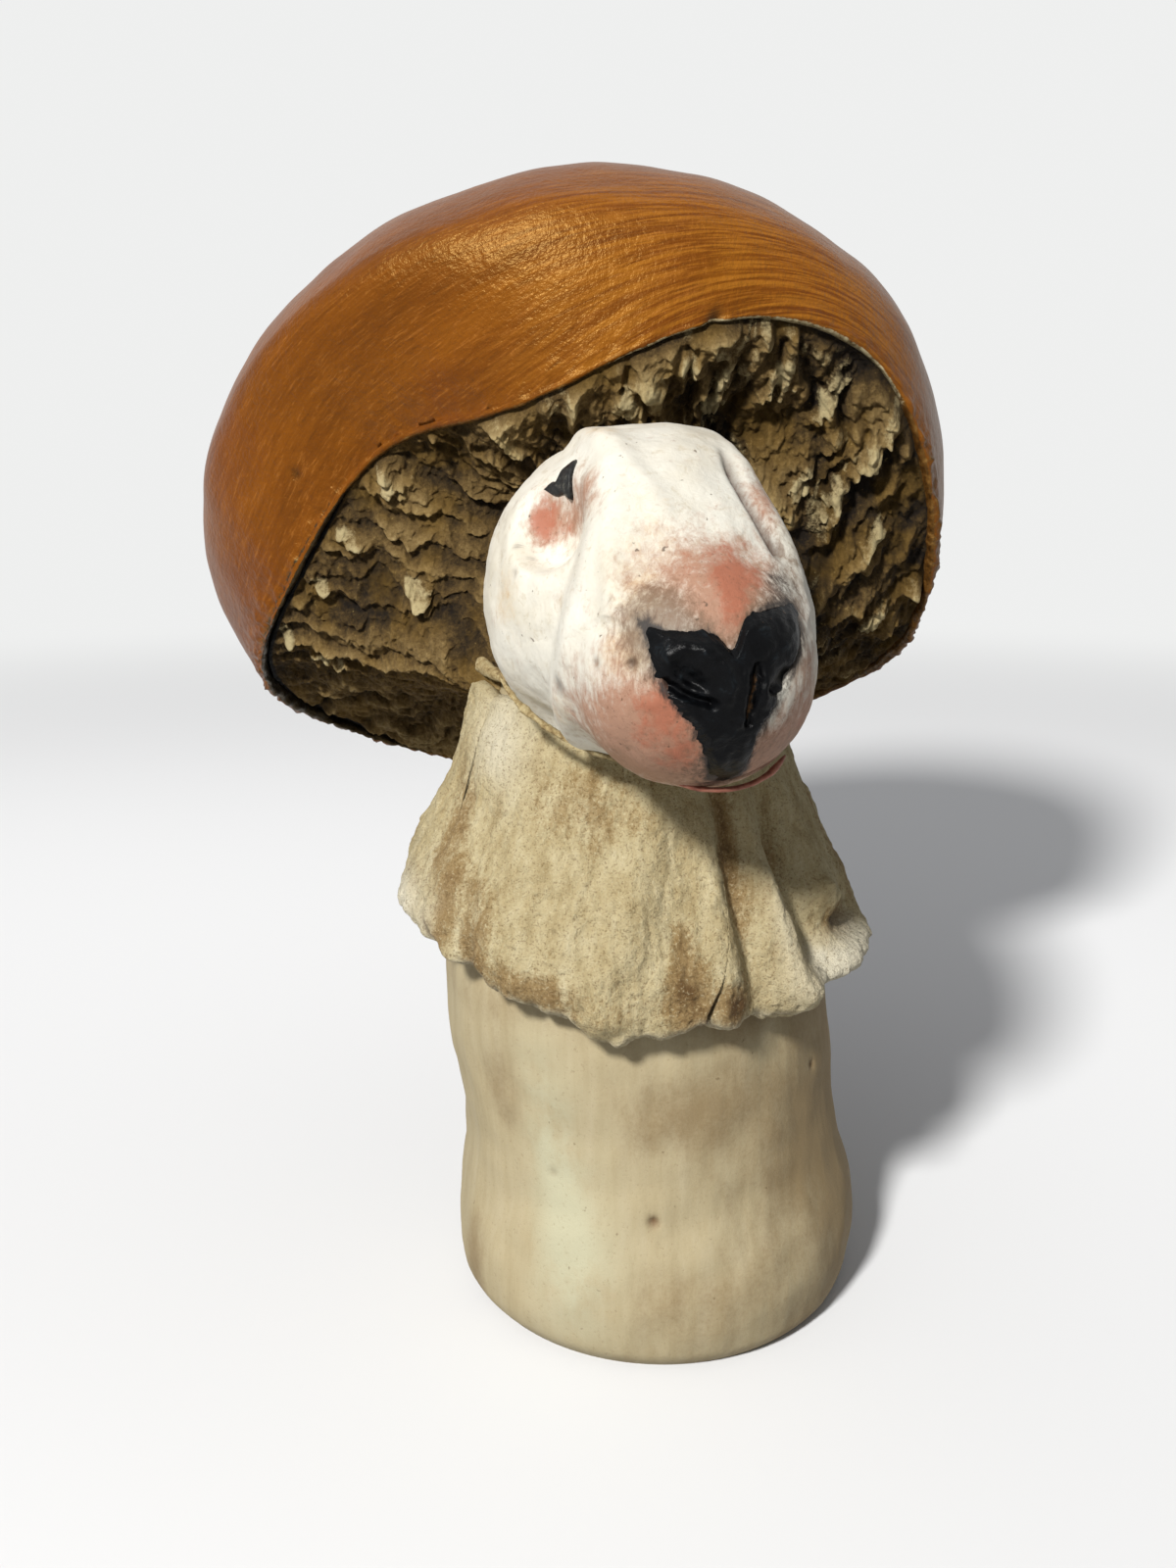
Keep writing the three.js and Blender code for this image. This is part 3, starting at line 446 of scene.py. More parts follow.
class Paint:
    """A procedural material, built node by node. Sizes are in mm and colours are 0 to 255 in sRGB."""

    def __init__(self, name, roughness, **sockets):
        self.material = bpy.data.materials.new(name)
        self.material.use_nodes = True
        self.tree = self.material.node_tree
        self.shader = self.tree.nodes["Principled BSDF"]
        self.shader.inputs["Roughness"].default_value = roughness
        for key, value in sockets.items():
            self.shader.inputs[key.replace("_", " ")].default_value = value
        self.place = self.node("ShaderNodeTexCoord").outputs["Object"]

    def node(self, kind, **settings):
        node = self.tree.nodes.new(kind)
        for key, value in settings.items():
            setattr(node, key, value)
        return node

    def put(self, socket, value):
        if isinstance(value, bpy.types.NodeSocket):
            self.tree.links.new(value, socket)
        else:
            socket.default_value = value

    def field(self, name, vector=False):
        node = self.node("ShaderNodeAttribute", attribute_name=name)
        return node.outputs["Vector" if vector else "Fac"]

    def noise(self, size, detail=4, roughness=0.6, stretch=(1, 1, 1), place=None, unit=MM, warp=0.0):
        """Noise whose swells are about size mm wide, drawn out along each axis by stretch."""
        mapping = self.node("ShaderNodeMapping")
        mapping.inputs["Scale"].default_value = [1 / (2 * size * unit * along) for along in stretch]
        self.put(mapping.inputs["Vector"], place or self.place)
        node = self.node("ShaderNodeTexNoise")
        node.inputs["Scale"].default_value = 1
        node.inputs["Detail"].default_value = detail
        node.inputs["Roughness"].default_value = roughness
        node.inputs["Distortion"].default_value = warp
        self.put(node.inputs["Vector"], mapping.outputs["Vector"])
        return node.outputs["Fac"]

    def ramp(self, value, *stops):
        """A value through colour stops, each a place, red, green and blue."""
        node = self.node("ShaderNodeValToRGB")
        elements = node.color_ramp.elements
        while len(elements) < len(stops):
            elements.new(1.0)
        for element, (place, *colour) in zip(elements, stops):
            element.position = place
            element.color = srgb(*colour)
        self.put(node.inputs["Fac"], value)
        return node.outputs["Color"]

    def mix(self, share, first, second):
        node = self.node("ShaderNodeMix", data_type="RGBA")
        for socket, value in ((0, share), (6, first), (7, second)):
            self.put(node.inputs[socket], value)
        return node.outputs[2]

    def math(self, operation, first, second):
        node = self.node("ShaderNodeMath", operation=operation)
        self.put(node.inputs[0], first)
        self.put(node.inputs[1], second)
        return node.outputs[0]

    def step(self, value, low, high):
        """0 below low and 1 above high, or the other way round where low is the larger."""
        node = self.node("ShaderNodeMapRange", interpolation_type="SMOOTHSTEP")
        flip = low > high
        for socket, number in (("From Min", min(low, high)), ("From Max", max(low, high)),
                               ("To Min", float(flip)), ("To Max", float(not flip))):
            node.inputs[socket].default_value = number
        self.put(node.inputs["Value"], value)
        return node.outputs["Result"]

    def swing(self, base, *noises):
        """A value with noises added, each a noise and how far it swings the value."""
        for value, amount in noises:
            base = self.math("ADD", base, self.math("MULTIPLY", self.math("SUBTRACT", value, 0.5), amount))
        return base

    def cover(self, colour, over, value, low, high, share=1.0):
        """Paints over a colour where a value steps from low to high. share is the most that is covered."""
        amount = self.math("MULTIPLY", self.step(value, low, high), share)
        return self.mix(amount, colour, srgb(*over) if isinstance(over, tuple) else over)

    def stain_and_shade(self, colour, over, name):
        """Paints over a colour by the amount in a field."""
        return self.mix(self.field(name), colour, srgb(*over))

    def bump(self, *layers):
        """A bumped normal from layers of height, depth in mm and strength, the first one undermost."""
        normal = None
        for height, depth, strength in layers:
            node = self.node("ShaderNodeBump")
            node.inputs["Strength"].default_value = strength
            node.inputs["Distance"].default_value = depth * MM
            self.put(node.inputs["Height"], height)
            if normal is not None:
                self.put(node.inputs["Normal"], normal)
            normal = node.outputs["Normal"]
        return normal

    def finish(self, colour, normal):
        self.put(self.shader.inputs["Base Color"], colour)
        self.put(self.shader.inputs["Normal"], normal)
        return self.material


def cap_paint():
    """Brown paint brushed on in arcs, under a satin varnish, darker brown towards the crown, with painted
    shade on its right side and in its pits.
    """
    paint = Paint("cap_paint", 0.36, Specular_IOR_Level=0.42, Specular_Tint=(1.0, 0.66, 0.22, 1))
    flow = paint.field("flow", vector=True)
    bands, streaks, hairs = (
        paint.noise(size, 4, roughness, stretch=(length, length, 1), place=flow, unit=1, warp=warp)
        for size, roughness, length, warp in (
            (2.2, 0.6, 10, 0.25), (0.28, 0.7, 20, 0.3), (0.13, 0.78, 16, 0.4),
        )
    )
    colour = paint.ramp(bands, (0.3, 82, 38, 3), (0.46, 98, 49, 3), (0.6, 110, 58, 5), (0.76, 124, 70, 11))
    colour = paint.cover(colour, (98, 44, 11), paint.noise(12, 3, 0.55), 0.45, 0.65, 0.45)
    streak = paint.ramp(streaks, (0.28, 58, 27, 4), (0.44, 92, 46, 4), (0.58, 118, 65, 10),
                        (0.76, 150, 92, 28))
    colour = paint.mix(0.2, colour, streak)
    colour = paint.cover(colour, (160, 102, 30), streaks, 0.4, 0.62, paint.field("gold"))
    colour = paint.cover(colour, (158, 100, 42), hairs, 0.52, 0.7, 0.45)
    colour = paint.cover(colour, (62, 29, 6), hairs, 0.46, 0.3, 0.5)
    # Painted shade on the right side, and a darker brown towards the crown.
    colour = paint.stain_and_shade(colour, (74, 42, 16), "dark_crown_and_shade")
    crumb = paint.noise(0.5, 5, 0.75)
    rim = paint.ramp(crumb, (0.35, 40, 23, 8), (0.55, 88, 58, 24), (0.7, 124, 92, 48))
    clay = paint.ramp(crumb, (0.36, 84, 70, 46), (0.5, 146, 134, 104), (0.66, 180, 170, 138))
    black = paint.ramp(crumb, (0.45, 13, 12, 11), (0.62, 40, 36, 30), (0.74, 84, 74, 56))
    for name, over, low, high in (
        ("edge", rim, 0.45, 0.8), ("clay", clay, 0.4, 0.7), ("black", black, 0.35, 0.6),
    ):
        colour = paint.cover(colour, over, paint.swing(paint.field(name), (crumb, 1.4)), low, high)
    # Painted shade in the nick and the pits.
    colour = paint.stain_and_shade(colour, (24, 14, 8), "cavity_shade")
    normal = paint.bump((streaks, 0.03, 0.6), (hairs, 0.04, 0.8), (paint.noise(1.2, 2, 0.6), 0.16, 0.9),
                        (paint.noise(0.34, 2, 0.7), 0.16, 1.0))
    return paint.finish(colour, normal)


def gill_paint():
    """Dark wash in the furrows, olive brown above it and pale dry-brushed crests; the dark of the furrows is
    partly painted shade and the pale of the crests partly painted highlight.
    """
    paint = Paint("gill_paint", 0.9, Specular_IOR_Level=0.2)
    crumb = paint.noise(0.4, 5, 0.8)
    # The ramp by height is wash and dry-brush, and also painted shade in the furrows and painted highlight on
    # the crests.
    level = paint.swing(paint.field("height"), (crumb, 0.8), (paint.noise(4.5, 3, 0.6), 0.35))
    colour = paint.ramp(level, (0.12, 24, 17, 9), (0.3, 60, 46, 24), (0.48, 96, 76, 43), (0.68, 130, 108, 68),
                        (0.92, 168, 148, 104))
    olive = paint.mix(0.6, colour, srgb(122, 92, 28))
    colour = paint.cover(colour, olive, paint.noise(3.2, 3, 0.5), 0.46, 0.66, 0.45)
    # Pale clumps and the tops of clods: dry-brushed paint and painted highlight.
    pale = paint.swing(paint.field("pale"), (crumb, 1.5))
    colour = paint.cover(colour, (184, 169, 128), pale, 0.35, 1.1, 0.9)
    colour = paint.cover(colour, (176, 156, 98), crumb, 0.62, 0.74, 0.6)
    rubbed = paint.mix(paint.step(crumb, 0.4, 0.65), srgb(86, 64, 30), srgb(132, 106, 56))
    colour = paint.mix(paint.field("fan"), colour, rubbed)
    # Painted shade, near black, in the gaps by the lip and by the hub and in the hollows.
    colour = paint.cover(colour, (13, 11, 9), paint.swing(paint.field("black_paint_and_shade"), (crumb, 0.7)), 0.3, 0.7)
    return paint.finish(colour, paint.bump((crumb, 0.6, 1.0)))


def skirt_paint():
    """Gritty buff clay with brown stains and pale lumps, with painted shade where the head's shadow falls, in
    hollows, seams and under the hem, and painted highlights on the ledge, the ridge and the hem.
    """
    paint = Paint("skirt_paint", 0.9, Specular_IOR_Level=0.3)
    streak = paint.noise(1.3, 5, 0.7, stretch=(1, 1, 5))
    blotch = paint.noise(5.0, 4, 0.62)
    grit = paint.noise(0.26, 4, 0.8)
    sand = paint.noise(0.13, 2, 0.7)
    colour = paint.ramp(streak, (0.3, 146, 129, 92), (0.46, 167, 152, 115), (0.62, 180, 167, 132),
                        (0.8, 192, 182, 151))
    # Brown stains, and painted shade where the head's shadow falls and in the scoop.
    stain_and_shade = paint.swing(paint.field("stain_and_shade"), (blotch, 1.5), (streak, -1.2), (grit, -1.1))
    colour = paint.cover(colour, (128, 102, 62), stain_and_shade, 0.15, 0.8, 0.8)
    colour = paint.cover(colour, (84, 58, 28), stain_and_shade, 0.7, 1.3, 0.9)
    # Pale lumps and painted highlights.
    colour = paint.cover(colour, (198, 191, 170), blotch, 0.2, 0.5, paint.field("pale"))
    speck = paint.swing(grit, (sand, 0.5))
    colour = paint.cover(colour, (98, 78, 48), speck, 0.44, 0.3, 0.55)
    colour = paint.cover(colour, (206, 196, 164), speck, 0.6, 0.74, 0.4)
    # Painted shade in the pits, the seams and under the hem.
    colour = paint.stain_and_shade(colour, (44, 32, 18), "cavity_shade")
    return paint.finish(colour, paint.bump((grit, 0.3, 0.9), (sand, 0.08, 0.8), (streak, 0.2, 0.35)))


def stem_paint():
    """Smooth buff paint with brown blotches, a pale greenish streak, and painted shade on its right side."""
    paint = Paint("stem_paint", 0.75, Specular_IOR_Level=0.3)
    streak = paint.noise(1.0, 5, 0.65, stretch=(1, 1, 10))
    blotch = paint.noise(4.6, 5, 0.64, stretch=(1, 1, 1.5))
    fine = paint.noise(0.3, 4, 0.78)
    colour = paint.ramp(streak, (0.25, 157, 143, 111), (0.5, 166, 153, 122), (0.75, 172, 160, 131))
    # Brown blotches, and the painted shade on the right side.
    stain_and_shade = paint.swing(paint.field("stain_and_shade"), (blotch, 1.6), (fine, 0.7))
    colour = paint.cover(colour, (126, 106, 74), stain_and_shade, 0.1, 0.9, 0.8)
    colour = paint.cover(colour, (176, 172, 145), blotch, 0.3, 0.55, paint.field("green"))
    colour = paint.cover(colour, (118, 98, 68), fine, 0.44, 0.28, 0.4)
    colour = paint.cover(colour, (92, 74, 48), paint.noise(0.7, 2, 0.5), 0.27, 0.22, 0.5)
    # Painted shade in the pits.
    colour = paint.stain_and_shade(colour, (92, 62, 36), "cavity_shade")
    return paint.finish(colour, paint.bump((streak, 0.1, 0.35), (fine, 0.08, 0.7)))


def head_paint():
    """Satin white over clay, with salmon patches, dark specks, black paint feathered round the nose, grime,
    and painted shade in the creases, the valley, the pits and under the jaw.
    """
    paint = Paint("head_paint", 0.6, Specular_IOR_Level=0.3)
    brush = paint.noise(0.8, 5, 0.72, warp=0.4)
    fine = paint.noise(0.25, 3, 0.75)
    feather = paint.noise(0.45, 5, 0.74, stretch=(1, 1, 2.4), warp=0.35)
    patches = paint.noise(1.8, 3, 0.6)
    pink, salmon = paint.field("pink"), paint.field("salmon")
    wash = paint.noise(4.5, 4, 0.6)
    colour = paint.ramp(wash, (0.3, 200, 194, 178), (0.5, 209, 205, 193), (0.7, 212, 210, 200))
    colour = paint.cover(colour, (172, 158, 132), brush, 0.46, 0.32, 0.4)
    cream = paint.swing(paint.field("cream"), (brush, 1.2))
    colour = paint.cover(colour, (188, 160, 116), cream, 0.15, 0.9, 0.7)
    feathered_pink = paint.swing(pink, (feather, 1.8), (patches, 1.1))
    colour = paint.cover(colour, (152, 108, 83), feathered_pink, 0.1, 1.15, 0.9)
    torn_salmon = paint.swing(salmon, (patches, 1.1), (brush, 1.6))
    colour = paint.cover(colour, (158, 94, 70), torn_salmon, 0.25, 0.95, 0.85)
    stipple = paint.math("MULTIPLY", paint.step(paint.math("MAXIMUM", pink, salmon), 0.25, 0.8), 0.55)
    colour = paint.cover(colour, (112, 78, 58), fine, 0.45, 0.3, stipple)
    # Grime, and painted shade in the brow crease, the cheek's valley and under the jaw.
    grime_and_shade = paint.swing(paint.field("grime_and_shade"), (feather, 1.8))
    colour = paint.cover(colour, (98, 80, 62), grime_and_shade, 0.2, 1.1, 0.75)
    black_paint_and_shade = paint.swing(paint.field("black_paint_and_shade"), (feather, 1.8))
    colour = paint.cover(colour, (28, 26, 26), black_paint_and_shade, 0.3, 1.05, 0.92)
    colour = paint.cover(colour, (78, 62, 48), paint.noise(0.5, 2, 0.5), 0.28, 0.23, 0.75)
    # Painted shade in the pits, the brow crease, the mouth and the scratches.
    colour = paint.stain_and_shade(colour, (58, 36, 26), "cavity_shade")
    return paint.finish(colour, paint.bump((brush, 0.14, 0.7), (fine, 0.06, 0.8)))


def nose_paint():
    """Glossy black, thick and brushy, with a few brown flecks."""
    paint = Paint("nose_paint", 0.3, Specular_IOR_Level=0.08)
    brush = paint.noise(0.8, 5, 0.65, warp=0.5)
    colour = paint.ramp(brush, (0.35, 4, 4, 5), (0.58, 9, 10, 12), (0.74, 26, 32, 36))
    fleck = paint.swing(paint.field("fleck"), (brush, 2.4))
    colour = paint.cover(colour, (104, 76, 48), fleck, 0.55, 0.85, 0.8)
    return paint.finish(colour, paint.bump((brush, 0.25, 0.8)))


def plain_paint(name, roughness, swells, stops, depth, strength, **sockets):
    """A material with one noise that drives both its colour and its bumps."""
    paint = Paint(name, roughness, **sockets)
    grain = paint.noise(*swells)
    return paint.finish(paint.ramp(grain, *stops), paint.bump((grain, depth, strength)))


def small_paints():
    """The lower lip, the eyes, the bare wood of the pegs, and the thin rolls of crumbly clay."""
    lip = [(0.3, 112, 62, 48), (0.55, 154, 96, 78), (0.75, 176, 124, 104)]
    # Black paint, whose palest grey flecks are painted glints.
    eye = [(0.4, 10, 10, 10), (0.56, 30, 31, 30), (0.7, 84, 82, 74)]
    wood = [(0.3, 170, 128, 78), (0.7, 214, 178, 124)]
    crumb = [(0.32, 92, 72, 42), (0.48, 146, 128, 90), (0.66, 176, 163, 126)]
    return {
        "lip": plain_paint("lip_paint", 0.5, (0.6, 4, 0.6), lip, 0.1, 0.6, Specular_IOR_Level=0.3),
        "eye": plain_paint("eye_paint", 0.5, (0.4, 4, 0.7), eye, 0.15, 0.8, Specular_IOR_Level=0.3),
        "wood": plain_paint("wood_grain", 0.7, (0.6, 4, 0.6, (1, 1, 14)), wood, 0.1, 0.5),
        "crumb": plain_paint("crumb_paint", 0.9, (0.45, 5, 0.74), crumb, 0.25, 0.9, Specular_IOR_Level=0.3),
    }


# Stem

def stem_axis(height):
    lean = smooth((height - LEAN["low"]) / (LEAN["high"] - LEAN["low"]))
    bent = np.maximum(0, (height - NECK_BEND["low"]) / (NECK_BEND["high"] - NECK_BEND["low"]))
    return LEAN["x"] * lean, LEAN["y"] * lean + NECK_BEND["back"] * bent ** NECK_BEND["power"]


STEM_CURVE = spline(STEM_OUTLINE, np.linspace(0, 1, 400))


def stem_radius(height):
    return np.interp(height, STEM_CURVE[:, 1], STEM_CURVE[:, 0])


def around_stem(azimuth, radius, height):
    x, y = stem_axis(height)
    angle = np.radians(azimuth)
    return np.stack([x + radius * np.sin(angle), y - radius * np.cos(angle), height + 0 * radius], axis=-1)


def degrees_from(azimuth, centre):
    return (azimuth - centre + 180) % 360 - 180


def blobs(azimuth, height, table):
    """The sum of a table's spots on the stem or skirt."""
    return sum(
        strength * np.exp(-((degrees_from(azimuth, centre) / wide) ** 2) - ((height - middle) / tall) ** 2)
        for strength, centre, middle, wide, tall in table
    )


def build_stem(material):
    rings, sides = 260, 420
    profile = spline(STEM_OUTLINE, np.linspace(0, 1, rings))
    azimuth, height = np.meshgrid(np.linspace(-180, 180, sides, endpoint=False), profile[:, 1])
    radius = profile[:, :1] + 0 * azimuth
    base = around_stem(azimuth, radius, height)
    relief = noises(base, (0.5, 14, 0), (0.22, 5, 1)) + 0.05 * rough(base, (1.6, 1.6, 10), 2, 2)
    relief = relief + blobs(azimuth, height, STEM_SWELLS)
    pit = blobs(azimuth, height, STEM_PITS)
    radius = radius + between(height, 0, 4) * relief - 0.8 * pit
    green = blobs(azimuth, height, STEM_GREEN)
    # Stains from the table with painted shade on the right side, darker at the foot and just under the
    # skirt's hem.
    stain_and_shade = blobs(azimuth, height, STEM_STAINS_AND_SHADE) + 0.3 * between(height, 5, 0) + 0.35 * between(height, 42, 47)
    # The pits are darkened with painted shade.
    fields = {"stain_and_shade": stain_and_shade - 0.5 * green, "green": np.clip(green, 0, 1), "cavity_shade": np.clip(pit, 0, 0.9)}
    points = around_stem(azimuth, radius, height)
    add_piece("stem_body", points, material, ["stem"], fields=fields)


# Skirt

def skirt_top(azimuth):
    forward = np.cos(np.radians(azimuth))
    end = np.where(forward > 0, SKIRT_TOP["front"], SKIRT_TOP["back"])
    return lerp(SKIRT_TOP["side"], end, smooth(np.abs(forward)))


def fold(azimuth, height, upper, lower, half_width, swell):
    """A swell or groove along a slanted line down the skirt."""
    along = np.clip((upper[1] - height) / (upper[1] - lower[1]), -0.4, 1.25)
    line = lerp(upper[0], lower[0], np.clip(along, 0, 1))
    grown = between(along, -0.35, 0.75) * between(along, 1.6, 1.05)
    return swell * np.exp(-((degrees_from(azimuth, line) / half_width) ** 2)) * grown


def shelf(azimuth, height, start, end, half_tall, swell):
    """A ledge that runs round the skirt between two places, each an azimuth and a height."""
    along = (azimuth - start[0]) / (end[0] - start[0])
    line = lerp(start[1], end[1], np.clip(along, 0, 1))
    ends_fade = between(along, -0.35, 0.1) * between(along, 1.3, 0.95)
    return swell * ends_fade * np.exp(-(((height - line) / half_tall) ** 2))


def hem_and_top(azimuth, corner, hems):
    """Heights of a slab's wavy hem and of its top. Both draw back a little at the slab's corners."""
    hem = spline(hems[:, 1], np.interp(azimuth, hems[:, 0], np.linspace(0, 1, len(hems))))[..., 0]
    hem = hem + noises(around_stem(azimuth, 30, hem), (0.9, 5, 3), (0.45, 2, 4), (0.15, 0.8, 5))
    return hem + 0.6 * np.exp(-corner / 1.2), skirt_top(azimuth) - np.exp(-corner / 2.5)


def slanted(name, azimuth, share, height):
    """Azimuths of a slab whose seams lean. share runs from 0 at its first seam to 1 at its last."""
    leans = [np.interp(height, *SEAM_LEAN[seam]) for seam in SLAB_SEAMS[name]]
    return azimuth + lerp(leans[0], leans[1], share)


def slab_face(azimuth, height, above, drop):
    """Radii of a slab's outer face, and how deep it is pitted. above is the height over the hem."""
    relief = blobs(azimuth, height, SKIRT_LUMPS) + shelf(azimuth, height, *SKIRT_SHELF)
    relief = relief + sum(fold(azimuth, height, *line) for line in SKIRT_FOLDS)
    outer = spline(SKIRT_RADII, drop)[..., 0] + relief * between(drop, 0, 0.3)
    at = around_stem(azimuth, outer, height)
    outer = outer + 0.6 * noise(at, 9, 5) * between(drop, 0, 0.2)
    outer = outer + 0.3 * noise(at, 3.6, 6) * between(drop, 0.1, 0.7)
    outer = outer + 0.2 * rough(at, (1.3, 1.3, 9), 3, 6) + 0.15 * rough(at, 1.1, 3, 7)
    near_hem = np.exp(-above / 2.8)
    outer = outer + near_hem * (1 + noises(at, (1, 3.6, 8), (0.35, 1.6, 9)))
    pitted = np.clip(noise(at, 0.9, 12) - 0.45, 0, 1) * (0.5 + near_hem)
    rolled = 1 - np.clip(above / HEM_ROLL, 0, 1)
    roll = HEM_ROLL * (1 - np.sqrt(1 - rolled**2))
    return outer - 0.8 * pitted - 0.7 * roll, pitted


def slab_section(azimuth, outer, height, hem, top):
    """Radii and heights of a slab from its top down its face, round the hem and up inside to its crest."""
    gap, hem_lift, hem_rows, inner_rows = 0.3, 0.8, 18, 24
    turn = np.linspace(0, math.pi, hem_rows + 2)[None, 1:-1]
    inner_hem = stem_radius(hem) + gap + hem_lift
    outer_hem = outer[:, -1:]
    hem_radius = (outer_hem + inner_hem) / 2 + (outer_hem - inner_hem) / 2 * np.cos(turn)
    torn = around_stem(azimuth, hem_radius, hem)
    hem_height = hem - 0.7 * np.sin(turn) + 0.3 * noise(torn, 1.2, 10)
    inner_height = lerp(hem + hem_lift, top, np.linspace(0, 1, inner_rows)[None, :])
    inner_radius = stem_radius(inner_height) + gap
    crest_radius = (outer[:, :1] + inner_radius[:, -1:]) / 2
    radius = np.concatenate([outer, hem_radius, inner_radius, crest_radius], axis=1)
    level = np.concatenate([height, hem_height, inner_height, top + SKIRT_CREST], axis=1)
    return radius, level


def slab_fields(azimuth, level, above, corner, under, pitted):
    """What a slab's paint reads. under is 1 on the hidden side of the hem."""
    # Stains and painted shade from the table, and darker beside the seams near the hem.
    stain_and_shade = blobs(azimuth, level, SKIRT_STAINS_AND_SHADE) + 0.5 * np.exp(-corner / 1.5) * between(above, 7, 2)
    # Pale lumps and painted highlights from the table, and a pale hem edge that is partly painted highlight.
    pale = blobs(azimuth, level, SKIRT_PALE_AND_HIGHLIGHT) + 0.5 * np.exp(-((above / 0.8) ** 2))
    # Painted shade under the hem, in the seams near the hem and in the pits.
    cavity_shade = 0.5 * between(above, 0.4, -0.8) * under + 0.7 * np.exp(-corner / 0.5) * between(above, 5, 1)
    hollows = np.zeros_like(level)
    hollows[:, :pitted.shape[1]] = pitted
    return {"stain_and_shade": stain_and_shade, "pale": np.clip(pale, 0, 1), "cavity_shade": np.clip(cavity_shade + 1.1 * hollows, 0, 0.95)}


def build_skirt(name, material):
    rows, degrees_apart = 190, 0.4
    hems = np.array(SKIRT_HEMS[name], float)
    first, last = hems[0, 0], hems[-1, 0]
    azimuth = np.linspace(first, last, int(round((last - first) / degrees_apart)) + 1)[:, None]
    from_seams = (azimuth - first, last - azimuth)
    corner = np.minimum(*from_seams)
    hem, top = hem_and_top(azimuth, corner, hems)
    drop = np.linspace(0, 1, rows)[None, :]
    height = lerp(top, hem, drop)
    share = (azimuth - first) / (last - first)
    outer, pitted = slab_face(slanted(name, azimuth, share, height), height, height - hem, drop)
    for away, step in zip(from_seams, EDGE_STEP[name]):
        outer = outer + step * np.exp(-away / 3) * between(drop, 0.8, 0.96)
    outer = outer - 0.45 * np.exp(-corner / 0.7) * between(height - hem, 6, 2)
    radius, level = slab_section(azimuth, outer, height, hem, top)
    spread = slanted(name, azimuth, share, level)
    for seam, away, inwards in zip(SLAB_SEAMS[name], from_seams, (1, -1)):
        gape = 0.003 + 0.12 * between(level - hem, 4, 0)
        for gap_height, half_tall, half_wide in SEAM_GAPS.get(seam, []):
            gape = gape + half_wide * np.exp(-(((level - gap_height) / half_tall) ** 2))
        spread = spread + inwards * gape * np.exp(-away)
    inner = stem_radius(hem) + 0.3
    under = between((radius - inner) / np.maximum(outer[:, -1:] - inner, 1), 0.9, 0.5)
    fields = slab_fields(spread, level, level - hem, corner, under, pitted)
    add_piece(name + "_slab", around_stem(spread, radius, level), material, [name], fields=fields)


# Cap and gills, in the cap's own frame: +Z out of the crown, -Y to the raised front

def cap_to_world(points):
    x, y, z = points[..., 0], points[..., 1], points[..., 2]
    y, z = turned(y, z, -CAP_TILT)
    x, y = turned(x, y, CAP_SWING)
    return np.stack([x, y, z], axis=-1) + CAP_CENTRE


def polar(angle, radius, level):
    return np.stack(np.broadcast_arrays(radius * np.cos(angle), radius * np.sin(angle), level), axis=-1)


def cap_rings(angle):
    """Rings from the underside round the lip to the crown, with how far inside and how far along each is."""
    widest, rim, level = waves(CAP_RADIUS, angle), waves(RIM_RADIUS, angle), waves(RIM_LEVEL, angle)
    rows = [(polar(angle, (rim - LIP) * share, CAP_UNDERSIDE), 1, -12) for share in (0.35, 0.7)]
    section = spline(LIP_SECTION, np.linspace(0, 1, 26))
    for share, (out, up) in zip(np.linspace(0, 1, len(section)), section):
        rows.append((polar(angle, rim + out, level + up), between(share, 0.85, 0.6), -4 + 4 * share))
    for share in np.linspace(0, 1, 52)[1:-1]:
        radius = lerp(rim, widest, math.sin(share * math.pi / 2))
        rows.append((polar(angle, radius, (level + 0.35) * (1 - share)), 0, 16 * share))
    for share in np.linspace(0, 1, 118)[:-1]:
        rise = share * math.pi / 2
        radius = widest * math.cos(rise) ** CAP_FULLNESS
        rows.append((polar(angle, radius, CAP_HEIGHT * math.sin(rise)), 0, 16 + 62 * share))
    rows.append((polar(angle, widest * 0.01, CAP_HEIGHT), 0, 78))
    points, inside, run = zip(*rows)
    return np.stack(points), np.array(inside)[:, None], np.array(run)[:, None]


